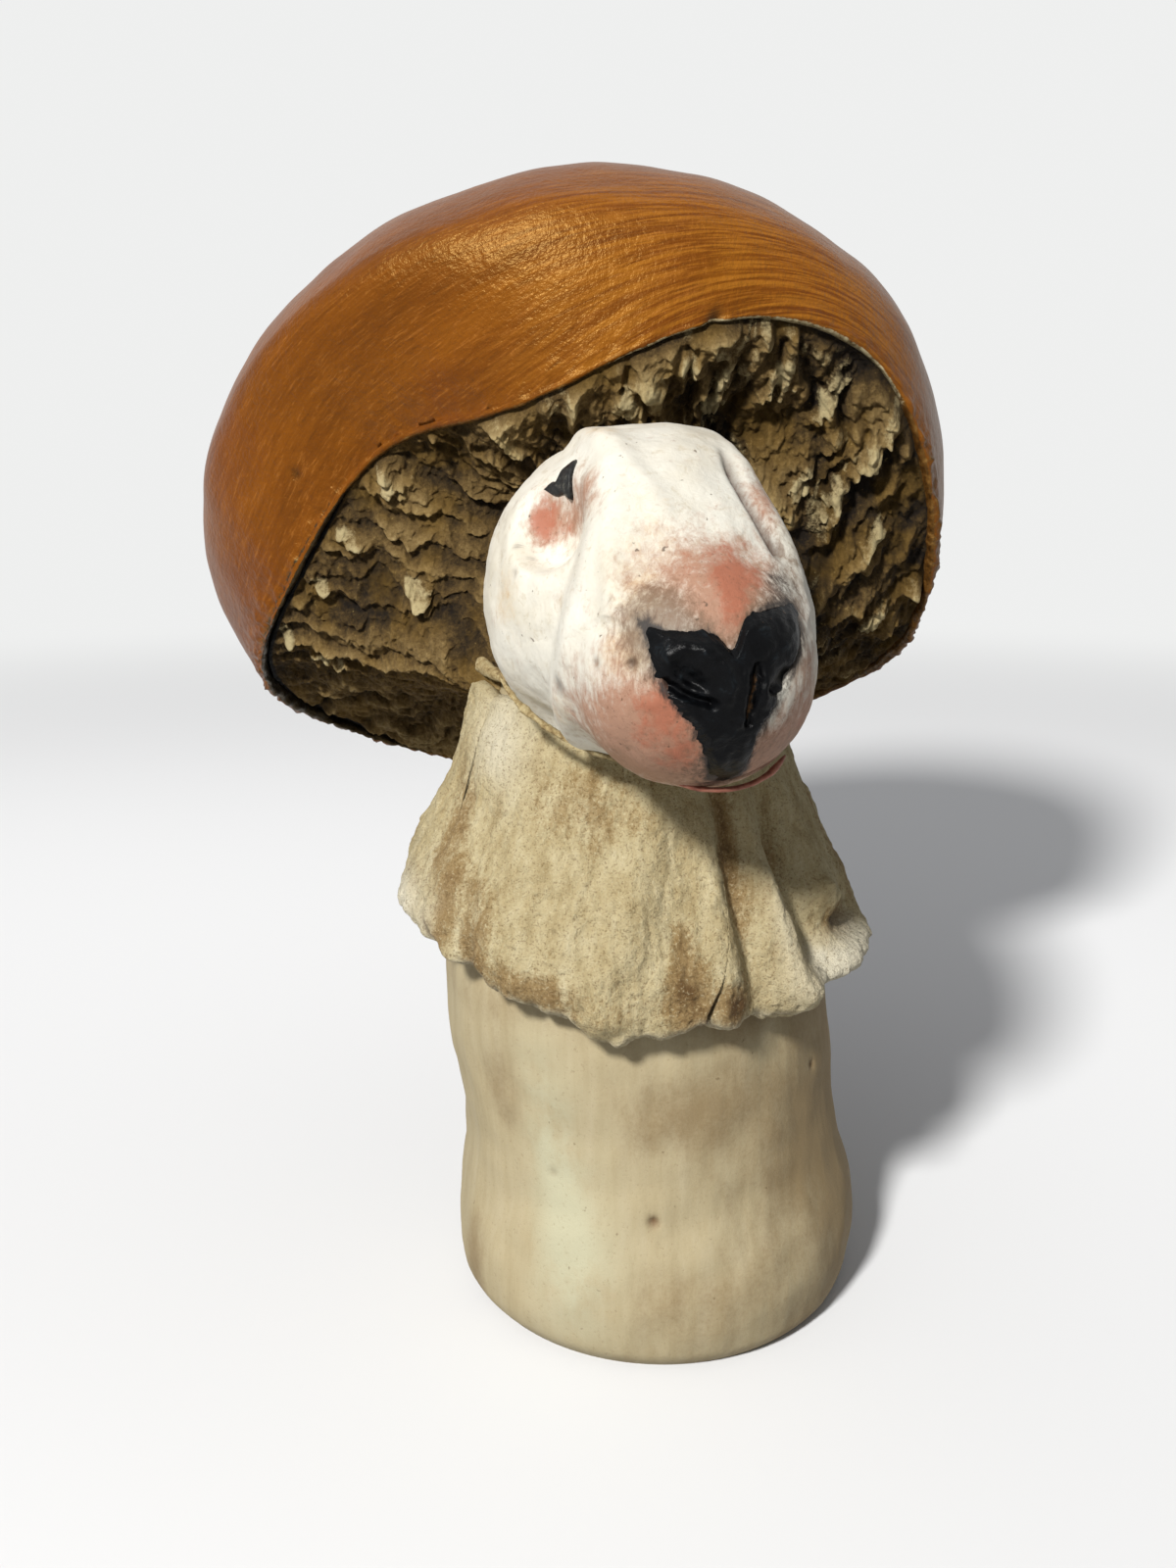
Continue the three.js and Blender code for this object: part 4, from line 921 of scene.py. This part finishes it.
def build_cap(material):
    sides, girth = 560, 54
    angle = np.linspace(0, 2 * math.pi, sides, endpoint=False)
    local, inside, run = cap_rings(angle)
    normal = grid_normals(local)
    if (normal[-40] * local[-40]).sum() < 0:
        normal = -normal
    angle = angle[None, :]
    climb = run - BRUSH_CLIMB * np.sin(angle - math.radians(BRUSH_START))
    flow = polar(angle, girth, climb)
    dark_side = around(angle, 165, 54, 36)
    clay_side = around(angle, -60, 30, 14)
    front_side = around(angle, -62, 52, 10)
    shaded_side = around(angle, 5, 62, 22)
    crumbly = np.maximum(around(angle, -8, 34, 16), around(angle, 135, 60, 40))
    relief = noises(local, (0.5, 16, 20), (0.14, 6, 21)) + 0.02 * rough(flow, (14, 14, 0.9), 2, 22)
    ragged = (0.3 + 0.35 * crumbly) * noise(local, 2.4, 24)
    ragged = ragged + (0.14 + 0.2 * dark_side + 0.4 * crumbly) * noise(local, 1.0, 25)
    relief = relief + np.exp(-np.abs(run) / 1.9) * ragged
    nick = np.exp(-(((np.degrees(angle) - 291) / 0.9) ** 2) - ((run + 0.6) / 1.3) ** 2)
    pit = spots(local, CAP_PITS)
    hidden = between(run, -3.2, -4.2)
    local = local + normal * ((relief - 0.9 * nick - 0.4 * pit) * (1 - hidden))[..., None]
    fields = {
        "flow": flow,
        "gold": 0.6 * front_side * between(run, 36, 8) * (1 - inside),
        # Painted shade on the right side, and a darker brown towards the crown.
        "dark_crown_and_shade": 0.5 * np.maximum(shaded_side, 0.8 * between(run, 26, 58)) * (1 - inside),
        "edge": (0.3 + 0.5 * crumbly) * np.exp(-np.abs(run) / 1.1) + 0.9 * inside,
        "clay": np.clip(1.3 * inside * clay_side, 0, 1),
        "black": np.clip(inside * dark_side * 1.4 + 0.5 * dark_side * np.exp(-np.abs(run) / 0.5), 0, 1),
        # Painted shade in the nick and the pits.
        "cavity_shade": np.clip(nick + 0.8 * pit, 0, 0.9),
    }
    add_piece("cap_shell", cap_to_world(local), material, ["cap"], fields=fields)


def gill_edge(angle):
    """Radius of the gills' outer edge, just inside the lip."""
    return waves(RIM_RADIUS, angle) - LIP + 0.1


def gill_twist(angle):
    return GILL_TWIST * around(angle, -15, 75, 30)


def gill_place(angle, share, rim):
    """Where a spoke lies at a share of its way from the hub to the rim."""
    hub_x, hub_y, hub_radius = GILL_HUB
    return (lerp(hub_x + hub_radius * np.cos(angle), rim * np.cos(angle), share),
            lerp(hub_y + hub_radius * np.sin(angle), rim * np.sin(angle), share))


def gill_spots(x, y, ragged, table):
    """1 on spots that lie along the spokes, falling to 0 at ragged edges."""
    total = 0
    for turn, share, size in table:
        turn = math.radians(turn)
        centre_x, centre_y = gill_place(turn, share, gill_edge(turn))
        out, beside = turned(x - centre_x, y - centre_y, float(gill_twist(turn)) - turn)
        total = np.maximum(total, np.exp(-((out / (3.0 * size)) ** 2) - (beside / (1.6 * size)) ** 2))
    return between(total + 0.4 * ragged, 0.2, 0.85)


def dome(away):
    """The height of rounded lumps, from the distance to their middles."""
    return np.clip(1 - (away / 0.85) ** 2, 0, 1)


def build_gills(material):
    sides, lengths = 1500, 225
    angle = np.linspace(0, 2 * math.pi, sides, endpoint=False)[None, :]
    share = np.linspace(0, 1, lengths)[:, None]
    dark_side = around(angle, 168, 50, 30)
    right_side = around(angle, -30, 80, 35)
    top_side = around(angle, -85, 40, 18)
    lumpy_side = around(angle, -138, 45, 22)
    fan = around(angle, 140, 40, 22) * between(share, 0.75, 0.35)

    rim = gill_edge(angle) - 0.35 * dark_side
    x, y = gill_place(angle, share, rim)
    fall = GILL_FALL["mean"] + GILL_FALL["front"] * np.sin(angle) + GILL_FALL["sides"] * np.cos(2 * angle)
    base = waves(RIM_LEVEL, angle) + 1.0 + 0.5 * dark_side - fall * (1 - share) ** GILL_FALL["power"]
    flat = np.stack([x, y, base], axis=-1)

    girth, length = 38, 34
    warped = angle + noises(flat, (0.11, 16, 30), (0.07, 6, 31), (0.03, 2.5, 32)) + gill_twist(angle) * share
    rolled = polar(warped, girth, length * share)
    grain = rough(flat, 1.5, 3, 44)
    wide_ridges, short_ridges = noise(rolled, (2.3, 2.3, 24), 33), noise(rolled, (2.9, 2.9, 13), 43)
    swells = noise(rolled, (6.5, 6.5, 26), 45)
    ridges = between(lerp(wide_ridges, short_ridges, right_side) + 0.08 * grain, -0.6, 0.6)
    leaves = between(noise(rolled, (1.3, 1.3, 9), 34) + 0.1 * grain, -0.8, 0.8)
    shaken = rolled + 0.3 * grain[..., None]
    clods = dome(cells(shaken, (3.2, 3.2, 6.5), 36))
    lumps = dome(cells(shaken, (1.6, 1.6, 2.6), 37))
    crumbs = dome(cells(flat, 0.8, 38))
    torn = between(noise(flat, 5.5, 39), -0.3, 0.3)
    clumps = gill_spots(x, y, grain, GILL_CLUMPS)
    hollows = gill_spots(x, y, grain, GILL_HOLLOWS)
    busy = np.clip(0.3 + 0.95 * right_side + 0.4 * top_side + 0.8 * lumpy_side, 0, 1.2)

    furrows = 2.3 * ridges + lerp(0.3, 0.6, right_side) * leaves
    relief = furrows * (1 - 0.5 * lumpy_side) + 1.1 * swells - 1.15 + 0.3 * lumpy_side
    relief = relief + 1.5 * busy * torn * clods * (0.35 + 0.65 * ridges)
    relief = relief + (0.25 + 0.6 * torn) * lumps + 0.4 * crumbs + 0.32 * grain
    relief = relief + 1.4 * clumps * (0.5 + 0.5 * lumps) - 1.2 * hollows
    relief = relief + 1.4 * top_side * between(share, 0.45, 0.9)
    relief = lerp(relief, 0.9 * ridges - 0.3 + 0.3 * lumps, 0.8 * fan)
    grow = 0.35 + 0.65 * between(share, 0.03, 0.5)
    fade = between(share, 1.0, 0.96)
    relief = grow * relief * fade + 0.5 * lumps * (1 - fade)
    shove = noises(flat, (0.3, 2.2, 40), (0.2, 0.9, 41))
    lower = np.stack([x - shove * np.sin(angle), y + shove * np.cos(angle), base - relief], axis=-1)
    back = np.full((1, sides), CAP_UNDERSIDE - 0.3)
    backs = [np.stack([*gill_place(angle, end, rim), back], axis=-1) for end in (1, 0)]
    local = np.concatenate([lower, *backs])

    # Painted highlight on the tops of clods, strongest on the right and top sides, where the light falls.
    lit_tops = torn * clods * between(lumps, 0.2, 0.8)
    lit_tops = (0.15 + 0.5 * right_side + 0.45 * top_side) * lit_tops
    fields = {
        # Low in the furrows and high on the crests, for wash and dry-brush and for painted shade and
        # highlight; lower on the right side.
        "height": np.clip(0.16 * (relief / grow + 1.75 - 0.9 * right_side), 0, 1),
        # Pale clumps, partly dry-brushed and partly painted highlight, and the painted highlight on the
        # clods' tops.
        "pale": np.maximum(clumps * (0.45 + 0.6 * lumps), lit_tops),
        # Painted shade in the gap by the lip on the dark side, by the hub and in the hollows.
        "black_paint_and_shade": dark_side * between(share, 0.975, 1.0) + 0.8 * between(share, 0.2, 0.04) + 0.4 * hollows,
        "fan": 0.85 * fan,
    }
    fields = {key: np.concatenate([value, np.repeat(value[-1:], 2, axis=0)]) for key, value in fields.items()}
    add_piece("gill_pad", cap_to_world(local), material, ["gills"], capped=False, fields=fields)


# Head

def smooth_union(a, b, width):
    share = np.clip(0.5 + 0.5 * (b - a) / width, 0, 1)
    return lerp(b, a, share) - width * share * (1 - share)


def ellipsoid(point, centre, radii):
    offset = point - np.array(centre, float)
    scaled = np.sqrt(((offset / radii) ** 2).sum(-1))
    slope = np.sqrt(((offset / np.square(radii)) ** 2).sum(-1))
    return scaled * (scaled - 1) / np.maximum(slope, 1e-6)


def muzzle(point):
    root, tip, root_radius, tip_radius = MUZZLE
    axis = np.array(tip, float) - root
    offset = point - np.array(root, float)
    share = np.clip(offset @ axis / (axis @ axis), 0, 1)
    away = np.linalg.norm(offset - share[..., None] * axis, axis=-1)
    return away - lerp(root_radius, tip_radius, share)


def bridge(point):
    x, y, z = point[..., 0], point[..., 1], point[..., 2]
    arc_y, arc_z, radius = BRIDGE["arc"]
    slope = smooth((BRIDGE["top"] - z) / (BRIDGE["top"] - BRIDGE["foot"]))
    beside = np.abs(x) - lerp(BRIDGE["narrow"], BRIDGE["wide"], slope)
    before = np.hypot(y - arc_y, z - arc_z) - radius
    beyond = np.maximum(BRIDGE["end"] - z, y - arc_y)
    return np.maximum(beyond, -smooth_union(-beside, -before, BLEND["ridge"]))


def head_distance(point):
    """Below 0 inside the head, above 0 outside it."""
    cheeks = smooth_union(ellipsoid(point, *SKULL), ellipsoid(point, *JOWL), BLEND["cheeks"])
    face = smooth_union(cheeks, muzzle(point), BLEND["bridge"])
    whole = smooth_union(face, bridge(point), BLEND["bridge"])
    mirrored = np.concatenate([np.abs(point[..., :1]), point[..., 1:]], axis=-1)
    hollow = ellipsoid(mirrored, *EYE_HOLLOW)
    return -smooth_union(-whole, hollow, BLEND["hollow"])


def reach(start, direction, far=45.0):
    """How far from start the head's skin lies along each direction, found in strides and then by halving."""
    stride, halvings = 0.75, 14
    outside = np.full(direction.shape[:-1], far)
    for _ in range(int(far / stride)):
        clear = head_distance(start + direction * (outside - stride)[..., None]) > 0
        outside = np.where(clear, outside - stride, outside)
    inside = outside - stride
    for _ in range(halvings):
        middle = (inside + outside) / 2
        clear = head_distance(start + direction * middle[..., None]) > 0
        outside = np.where(clear, middle, outside)
        inside = np.where(clear, inside, middle)
    return inside


def head_skin():
    """Rings of points over the bare head, and the directions in which its relief stands out."""
    rings, sides = 330, 500
    from_nose = np.linspace(0, math.pi, rings + 2)[1:-1][:, None]
    angle = np.linspace(0, 2 * math.pi, sides, endpoint=False)[None, :]
    across, up = np.sin(from_nose) * np.cos(angle), np.sin(from_nose) * np.sin(angle)
    direction = np.stack([across, -np.cos(from_nose) + 0 * angle, up], axis=-1)
    return HEAD_CORE + direction * reach(HEAD_CORE, direction)[..., None], direction


def cheek_fold(points):
    """The valley behind the cheek and the crest before it, alike on both sides of the head."""
    left_half = points * (-np.sign(points[..., :1]) * (1, 0, 0) + (0, 1, 1))
    offset, along = beside_path(left_half, VALLEY)
    side = offset @ np.array((-0.8, 0.6, 0))
    away = np.linalg.norm(offset, axis=-1)
    half_width = np.where(side < 0, 2.5, 5.5)
    valley = np.exp(-((side / half_width) ** 2)) * between(away, 11, 6) * between(along, 0, 0.4)
    crest = np.exp(-(((side + 4.2) / 2.4) ** 2)) * between(away, 9, 4) * between(along, 0.2, 0.6)
    return valley, crest


def face_fields(points, outline, front, valley, crease):
    """Where the head's paint turns pink, salmon and cream, black round the nose, and grimy, with painted
    shade in the brow crease, the cheek's valley and under the jaw.
    """
    height = points[..., 2]
    # The underside of the jaw: pinker, and darkened with painted shade.
    low = between(height, 91, 84) * between(points[..., 1], -22, -34)
    beyond = np.maximum(outline, 0)
    black_paint_and_shade = front * (0.85 * np.exp(-beyond / 0.75) + spots(points, NOSE_SOOT)) + spots(points, CHIN_SOOT)
    # Grime round the nose and in spots, and painted shade under the jaw, in the brow crease and in the
    # cheek's valley.
    grime_and_shade = front * (0.45 + 0.55 * between(height, 91, 96)) * np.exp(-beyond / 2.2) + 0.3 * low
    grime_and_shade = grime_and_shade + spots(points, GRIME_SPOTS) + 0.5 * crease + 0.35 * valley * between(height, 96, 108)
    return {
        "pink": spots(points, PINK_SPOTS) + 0.6 * low,
        "salmon": spots(points, SALMON_SPOTS),
        "cream": spots(points, CREAM_SPOTS),
        "black_paint_and_shade": black_paint_and_shade,
        "grime_and_shade": grime_and_shade,
    }


def build_head(material):
    points, direction = head_skin()
    valley, crest = cheek_fold(points)
    _, down = beside_path(points, BROW_CREASE)
    crease = along_line(points, BROW_CREASE, 0.75) * between(down, -0.1, 0.2)
    mouth = along_line(points, MOUTH, 0.45)
    pits = spots(points, HEAD_PITS)
    scratches = sum(along_line(points, path, 0.22) for path in HEAD_SCRATCHES)
    front = between(points[..., 1], -36, -41)
    outline = nose_edge(points[..., 0], points[..., 2])
    relief = noises(points, (0.3, 7, 50), (0.15, 3, 51)) + 0.035 * rough(points, 1.0, 3, 52)
    relief = relief - 1.9 * valley + 0.6 * crest - crease + 0.45 * along_line(points, SOFT_EDGE, 1.5)
    relief = relief - 0.5 * mouth - pits - 0.2 * scratches - spots(points, HEAD_HOLLOWS)
    relief = relief - 2.0 * front * between(outline, -0.3, -1.3)
    points = points + direction * relief[..., None]
    fields = face_fields(points, outline, front, valley, crease)
    # Painted shade in the pits, the crease, the mouth and the scratches.
    fields["cavity_shade"] = np.clip(1.3 * pits + 0.75 * crease + 0.9 * mouth + 0.7 * scratches, 0, 0.92)
    add_piece("dog_head", points + (HEAD_X, 0, 0), material, ["head"], fields=fields)


# Nose pad, eyes and lip

NOSE_CURVE = spline(NOSE_OUTLINE + NOSE_OUTLINE[:1], np.linspace(0, 1, 241))[:-1] - NOSE_CENTRE
NOSE_ANGLES = np.arctan2(NOSE_CURVE[:, 1], NOSE_CURVE[:, 0]) % (2 * math.pi)
NOSE_REACH = np.hypot(NOSE_CURVE[:, 0], NOSE_CURVE[:, 1])


def nose_radius(angle):
    order = np.argsort(NOSE_ANGLES)
    return np.interp(angle % (2 * math.pi), NOSE_ANGLES[order], NOSE_REACH[order], period=2 * math.pi)


def nose_edge(x, z):
    """Distance outwards from the nose pad's outline, about, as seen from the front."""
    across, up = x - NOSE_CENTRE[0], z - NOSE_CENTRE[1]
    return np.hypot(across, up) - nose_radius(np.arctan2(up, across))


def lines_on(flat, table):
    """The sum of a table's lines, each a strength, a half width and a path of places across and up."""
    return sum(strength * along_line(flat, path, half_width) for strength, half_width, path in table)


def patches_on(flat, table):
    """The sum of a table's slanted patches."""
    total = 0
    for strength, centre, wide, tall, lean in table:
        across, up = np.moveaxis(flat - centre, -1, 0)
        across, up = turned(across, up, -math.radians(lean))
        total = total + strength * np.exp(-((across / wide) ** 2) - (up / tall) ** 2)
    return total


def build_nose(material):
    sides, front_rows, behind, thickness = 320, 110, -22.0, 1.9
    angle = np.linspace(0, 2 * math.pi, sides, endpoint=False)[None, :]
    share = np.linspace(0.004, 1, front_rows)[:, None]
    edge = nose_radius(angle) + noises(polar(angle, 1, 0), (0.3, 0.16, 60), (0.25, 0.05, 61)) + 0.2
    x = NOSE_CENTRE[0] + edge * share * np.cos(angle)
    z = NOSE_CENTRE[1] + edge * share * np.sin(angle)
    start = np.stack([x, np.full_like(x, behind), z], axis=-1)
    skin = behind - reach(start, np.broadcast_to((0, -1, 0), start.shape), far=30.0)
    flat = np.stack([x, z], axis=-1)
    proud = 0.7 * between(share, 1.0, 0.82) - 0.1 + noises(start * (1, 0, 1), (0.2, 2.2, 62), (0.12, 0.9, 63))
    proud = proud + lines_on(flat, NOSE_LINES) + patches_on(flat, NOSE_PATCHES)
    front = np.stack([x, skin - np.maximum(proud, -1.5), z], axis=-1)
    back = front[::-6].copy()
    back[..., 1] = skin[::-6] + thickness
    fleck = lines_on(flat, NOSE_FLECKS)
    fleck = np.concatenate([fleck, 0 * fleck[::-6]])
    points = np.concatenate([front, back]) + (HEAD_X, 0, 0)
    add_piece("nose_leather", points, material, ["nose_pad"], fields={"fleck": fleck})


def build_eye(side, name, material):
    """A small painted wedge let into the hollow beside the bridge."""
    sides, rows, behind, thickness = 90, 24, 6, 0.9
    outline = spline(EYE_OUTLINE + EYE_OUTLINE[:1], np.linspace(0, 1, sides + 1))[:-1]
    share = np.linspace(0.02, 1, rows)[:, None]
    across, up = -side * share * outline[None, :, 0], share * outline[None, :, 1]
    outward = np.array([side * 0.82, -0.52, 0.24])
    outward /= np.linalg.norm(outward)
    right = np.cross([0, 0, 1], outward)
    right /= np.linalg.norm(right)
    top = np.cross(outward, right)
    middle = np.array([side * EYE_PLACE[0], EYE_PLACE[1], EYE_PLACE[2]])
    start = middle - behind * outward + across[..., None] * right + up[..., None] * top
    skin = reach(start, np.broadcast_to(outward, start.shape), far=14.0)
    swell = 0.3 * np.sqrt(np.clip(1 - share**2, 0, 1)) - 0.1
    front = start + outward * (skin + swell + 0.08 * noise(start, 0.8, 64))[..., None]
    back = (start + outward * (skin - thickness)[..., None])[::-3]
    points = np.concatenate([front, back]) + (HEAD_X, 0, 0)
    add_piece(name + "_patch", points, material, [name])


def tube(path, radius, sides, rows, seed, flatten=1.0, crumb=0.2, swell=0.3):
    """A tapered roll along a path, lumpy like clay rolled by hand."""
    share = np.linspace(0, 1, rows)
    centre = spline(path, share)
    tangent = np.gradient(centre, axis=0)
    tangent /= np.linalg.norm(tangent, axis=1, keepdims=True)
    sideways = np.cross(tangent, (0, 0, 1.0))
    sideways /= np.linalg.norm(sideways, axis=1, keepdims=True)
    upward = np.cross(sideways, tangent)
    angle = np.linspace(0, 2 * math.pi, sides, endpoint=False)[None, :, None]
    taper = np.sqrt(np.clip(np.minimum(share, 1 - share) * 7, 0.02, 1))[:, None, None]
    ring = sideways[:, None, :] * np.cos(angle) + flatten * upward[:, None, :] * np.sin(angle)
    points = centre[:, None, :] + ring * radius * taper
    bulge = swell * noise(points, 3.6, seed) + crumb * rough(points, 1.3, 3, seed + 1)
    return points + ring * (bulge[..., None] * taper)


def build_lip(material):
    path = np.array(LIP_PATH) + (HEAD_X, 0, 0)
    lip = tube(path, 0.42, 28, 140, 78, flatten=0.7, crumb=0.06, swell=0.1)
    add_piece("lip_fold", lip, material, ["lower_lip"])


def build_rolls(material):
    """The roll round the neck under the gills, and the one under the jaw, which follows the jaw's skin."""
    azimuths = np.linspace(-62, -296, 13)
    heights = skirt_top(azimuths) + 2.2
    neck = around_stem(azimuths, stem_radius(heights) + 1.7, heights)
    add_piece("neck_crumbs", tube(neck, 1.4, 40, 420, 71), material, ["neck_roll"])
    outward = spline(JAW_PATH, np.linspace(0, 1, 40)) - HEAD_CORE
    outward /= np.linalg.norm(outward, axis=1, keepdims=True)
    jaw = HEAD_CORE + outward * (reach(HEAD_CORE, outward) + JAW_PROUD)[:, None] + (HEAD_X, 0, 0)
    jaw_crumbs = tube(jaw, 0.55, 40, 520, 75, flatten=0.65, swell=0.5)
    add_piece("jaw_crumbs", jaw_crumbs, material, ["jaw_roll"])


def dress_dowels(material):
    for name in ("cap_dowel", "head_peg"):
        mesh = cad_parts[name].data
        mesh.materials.clear()
        mesh.materials.append(material)


# Stage, light and camera

def seen_directly(tree):
    """1 for what the camera sees, itself, in a gloss or through glass, and 0 for light on the object."""
    rays = tree.nodes.new("ShaderNodeLightPath")
    seen = rays.outputs["Is Camera Ray"]
    for kind in ("Is Glossy Ray", "Is Transmission Ray"):
        either = tree.nodes.new("ShaderNodeMath")
        either.operation = "MAXIMUM"
        tree.links.new(seen, either.inputs[0])
        tree.links.new(rays.outputs[kind], either.inputs[1])
        seen = either.outputs[0]
    return seen


def floor_mesh():
    """A grid, finest near the object, that holds where the floor is far away and where light falls flatly."""
    reach_out, near_edge = 4.0, -1.5
    steps = np.linspace(-1, 1, 121)
    xs = reach_out * steps * np.abs(steps)
    ys = xs[xs > near_edge]
    points = np.array([(x, y, 0.0) for y in ys for x in xs])
    at = np.arange(len(points)).reshape(len(ys), len(xs))
    faces = np.stack([at[:-1, :-1], at[:-1, 1:], at[1:, 1:], at[1:, :-1]], axis=-1).reshape(-1, 4)
    mesh = bpy.data.meshes.new("floor")
    mesh.from_pydata(points.tolist(), [], faces.tolist())
    steep = KEY["place"][2] / np.linalg.norm(points - KEY["place"], axis=1)
    away = np.hypot(points[:, 0], points[:, 1])
    for name, values in (("far", between(away, 0.35, 1.0)), ("pale", between(steep, 0.78, 0.4))):
        mesh.attributes.new(name, "FLOAT", "POINT").data.foreach_set("value", values.astype(np.float32))
    return mesh


def build_stage():
    """A pale floor that reaches far back, where the camera sees it and the room as one even pale grey."""
    mesh = floor_mesh()
    floor = bpy.data.objects.new("floor", mesh)
    bpy.context.scene.collection.objects.link(floor)
    paint = Paint("floor_paint", 0.8, Specular_IOR_Level=0.2)
    seen = seen_directly(paint.tree)
    paper = paint.mix(paint.field("pale"), srgb(210, 211, 213), srgb(242, 243, 245))
    paint.put(paint.shader.inputs["Base Color"], paint.mix(seen, srgb(168, 168, 168), paper))
    glow = paint.node("ShaderNodeEmission")
    glow.inputs["Color"].default_value = BACKDROP
    both = paint.node("ShaderNodeMixShader")
    paint.put(both.inputs[0], paint.math("MULTIPLY", seen, paint.field("far")))
    paint.put(both.inputs[1], paint.shader.outputs[0])
    paint.put(both.inputs[2], glow.outputs[0])
    paint.put(paint.tree.nodes["Material Output"].inputs["Surface"], both.outputs[0])
    mesh.materials.append(paint.material)


def aim(thing, place, target):
    """Puts a lamp or camera at a place, looking at a target, both in metres."""
    thing.location = place
    thing.rotation_euler = (Vector(target) - Vector(place)).to_track_quat("-Z", "Y").to_euler()
    bpy.context.scene.collection.objects.link(thing)


def build_room():
    """A dim room, lit softly from its ceiling, that the camera sees as an even backdrop."""
    world = bpy.data.worlds.new("studio")
    world.use_nodes = True
    tree = world.node_tree
    turn = tree.nodes.new("ShaderNodeVectorMath")
    turn.operation = "DOT_PRODUCT"
    turn.inputs[1].default_value = Vector(CEILING).normalized()
    tree.links.new(tree.nodes.new("ShaderNodeTexCoord").outputs["Generated"], turn.inputs[0])
    strength = tree.nodes.new("ShaderNodeMapRange")
    strength.interpolation_type = "SMOOTHSTEP"
    for socket, number in zip(("From Min", "From Max", "To Min", "To Max"), (-0.6, 1.0, *ROOM)):
        strength.inputs[socket].default_value = number
    tree.links.new(turn.outputs["Value"], strength.inputs["Value"])
    room = tree.nodes["Background"]
    room.inputs["Color"].default_value = (0.985, 0.99, 1.0, 1)
    tree.links.new(strength.outputs["Result"], room.inputs["Strength"])
    backdrop = tree.nodes.new("ShaderNodeBackground")
    backdrop.inputs["Color"].default_value = BACKDROP
    both = tree.nodes.new("ShaderNodeMixShader")
    tree.links.new(seen_directly(tree), both.inputs[0])
    tree.links.new(room.outputs[0], both.inputs[1])
    tree.links.new(backdrop.outputs[0], both.inputs[2])
    tree.links.new(both.outputs[0], tree.nodes["World Output"].inputs["Surface"])
    bpy.context.scene.world = world


def build_lamp():
    """A small lamp close by at the front left, as strong near as far."""
    lamp = bpy.data.lights.new("key", "POINT")
    lamp.shadow_soft_size = KEY["radius"]
    lamp.energy = KEY["energy"]
    lamp.color = KEY["colour"]
    lamp.use_nodes = True
    even = lamp.node_tree.nodes.new("ShaderNodeLightFalloff")
    even.inputs["Strength"].default_value = 1.0
    lamp.node_tree.links.new(even.outputs["Constant"], lamp.node_tree.nodes["Emission"].inputs["Strength"])
    aim(bpy.data.objects.new("key", lamp), KEY["place"], (0, 0, 0.06))


def build_camera():
    """The photograph's viewpoint."""
    turn, dip = math.radians(CAMERA["turn"]), math.radians(CAMERA["dip"])
    look = Vector((-math.sin(turn) * math.cos(dip), math.cos(turn) * math.cos(dip), -math.sin(dip)))
    place = Vector(CAMERA["place"])
    lens = bpy.data.cameras.new("camera")
    lens.sensor_fit = "VERTICAL"
    lens.sensor_height = CAMERA["sensor"]
    lens.lens = CAMERA["lens"]
    lens.clip_start = 0.01
    lens.clip_end = 10
    camera = bpy.data.objects.new("camera", lens)
    aim(camera, place, place + look)
    bpy.context.scene.camera = camera


build_camera()
build_room()
build_lamp()
build_stage()
build_stem(stem_paint())
skirt = skirt_paint()
for slab in SKIRT_HEMS:
    build_skirt(slab, skirt)
build_cap(cap_paint())
build_gills(gill_paint())
build_head(head_paint())
build_nose(nose_paint())
small = small_paints()
build_eye(-1, "left_eye", small["eye"])
build_eye(1, "right_eye", small["eye"])
build_lip(small["lip"])
build_rolls(small["crumb"])
dress_dowels(small["wood"])

bpy.context.scene.view_settings.view_transform = "Standard"
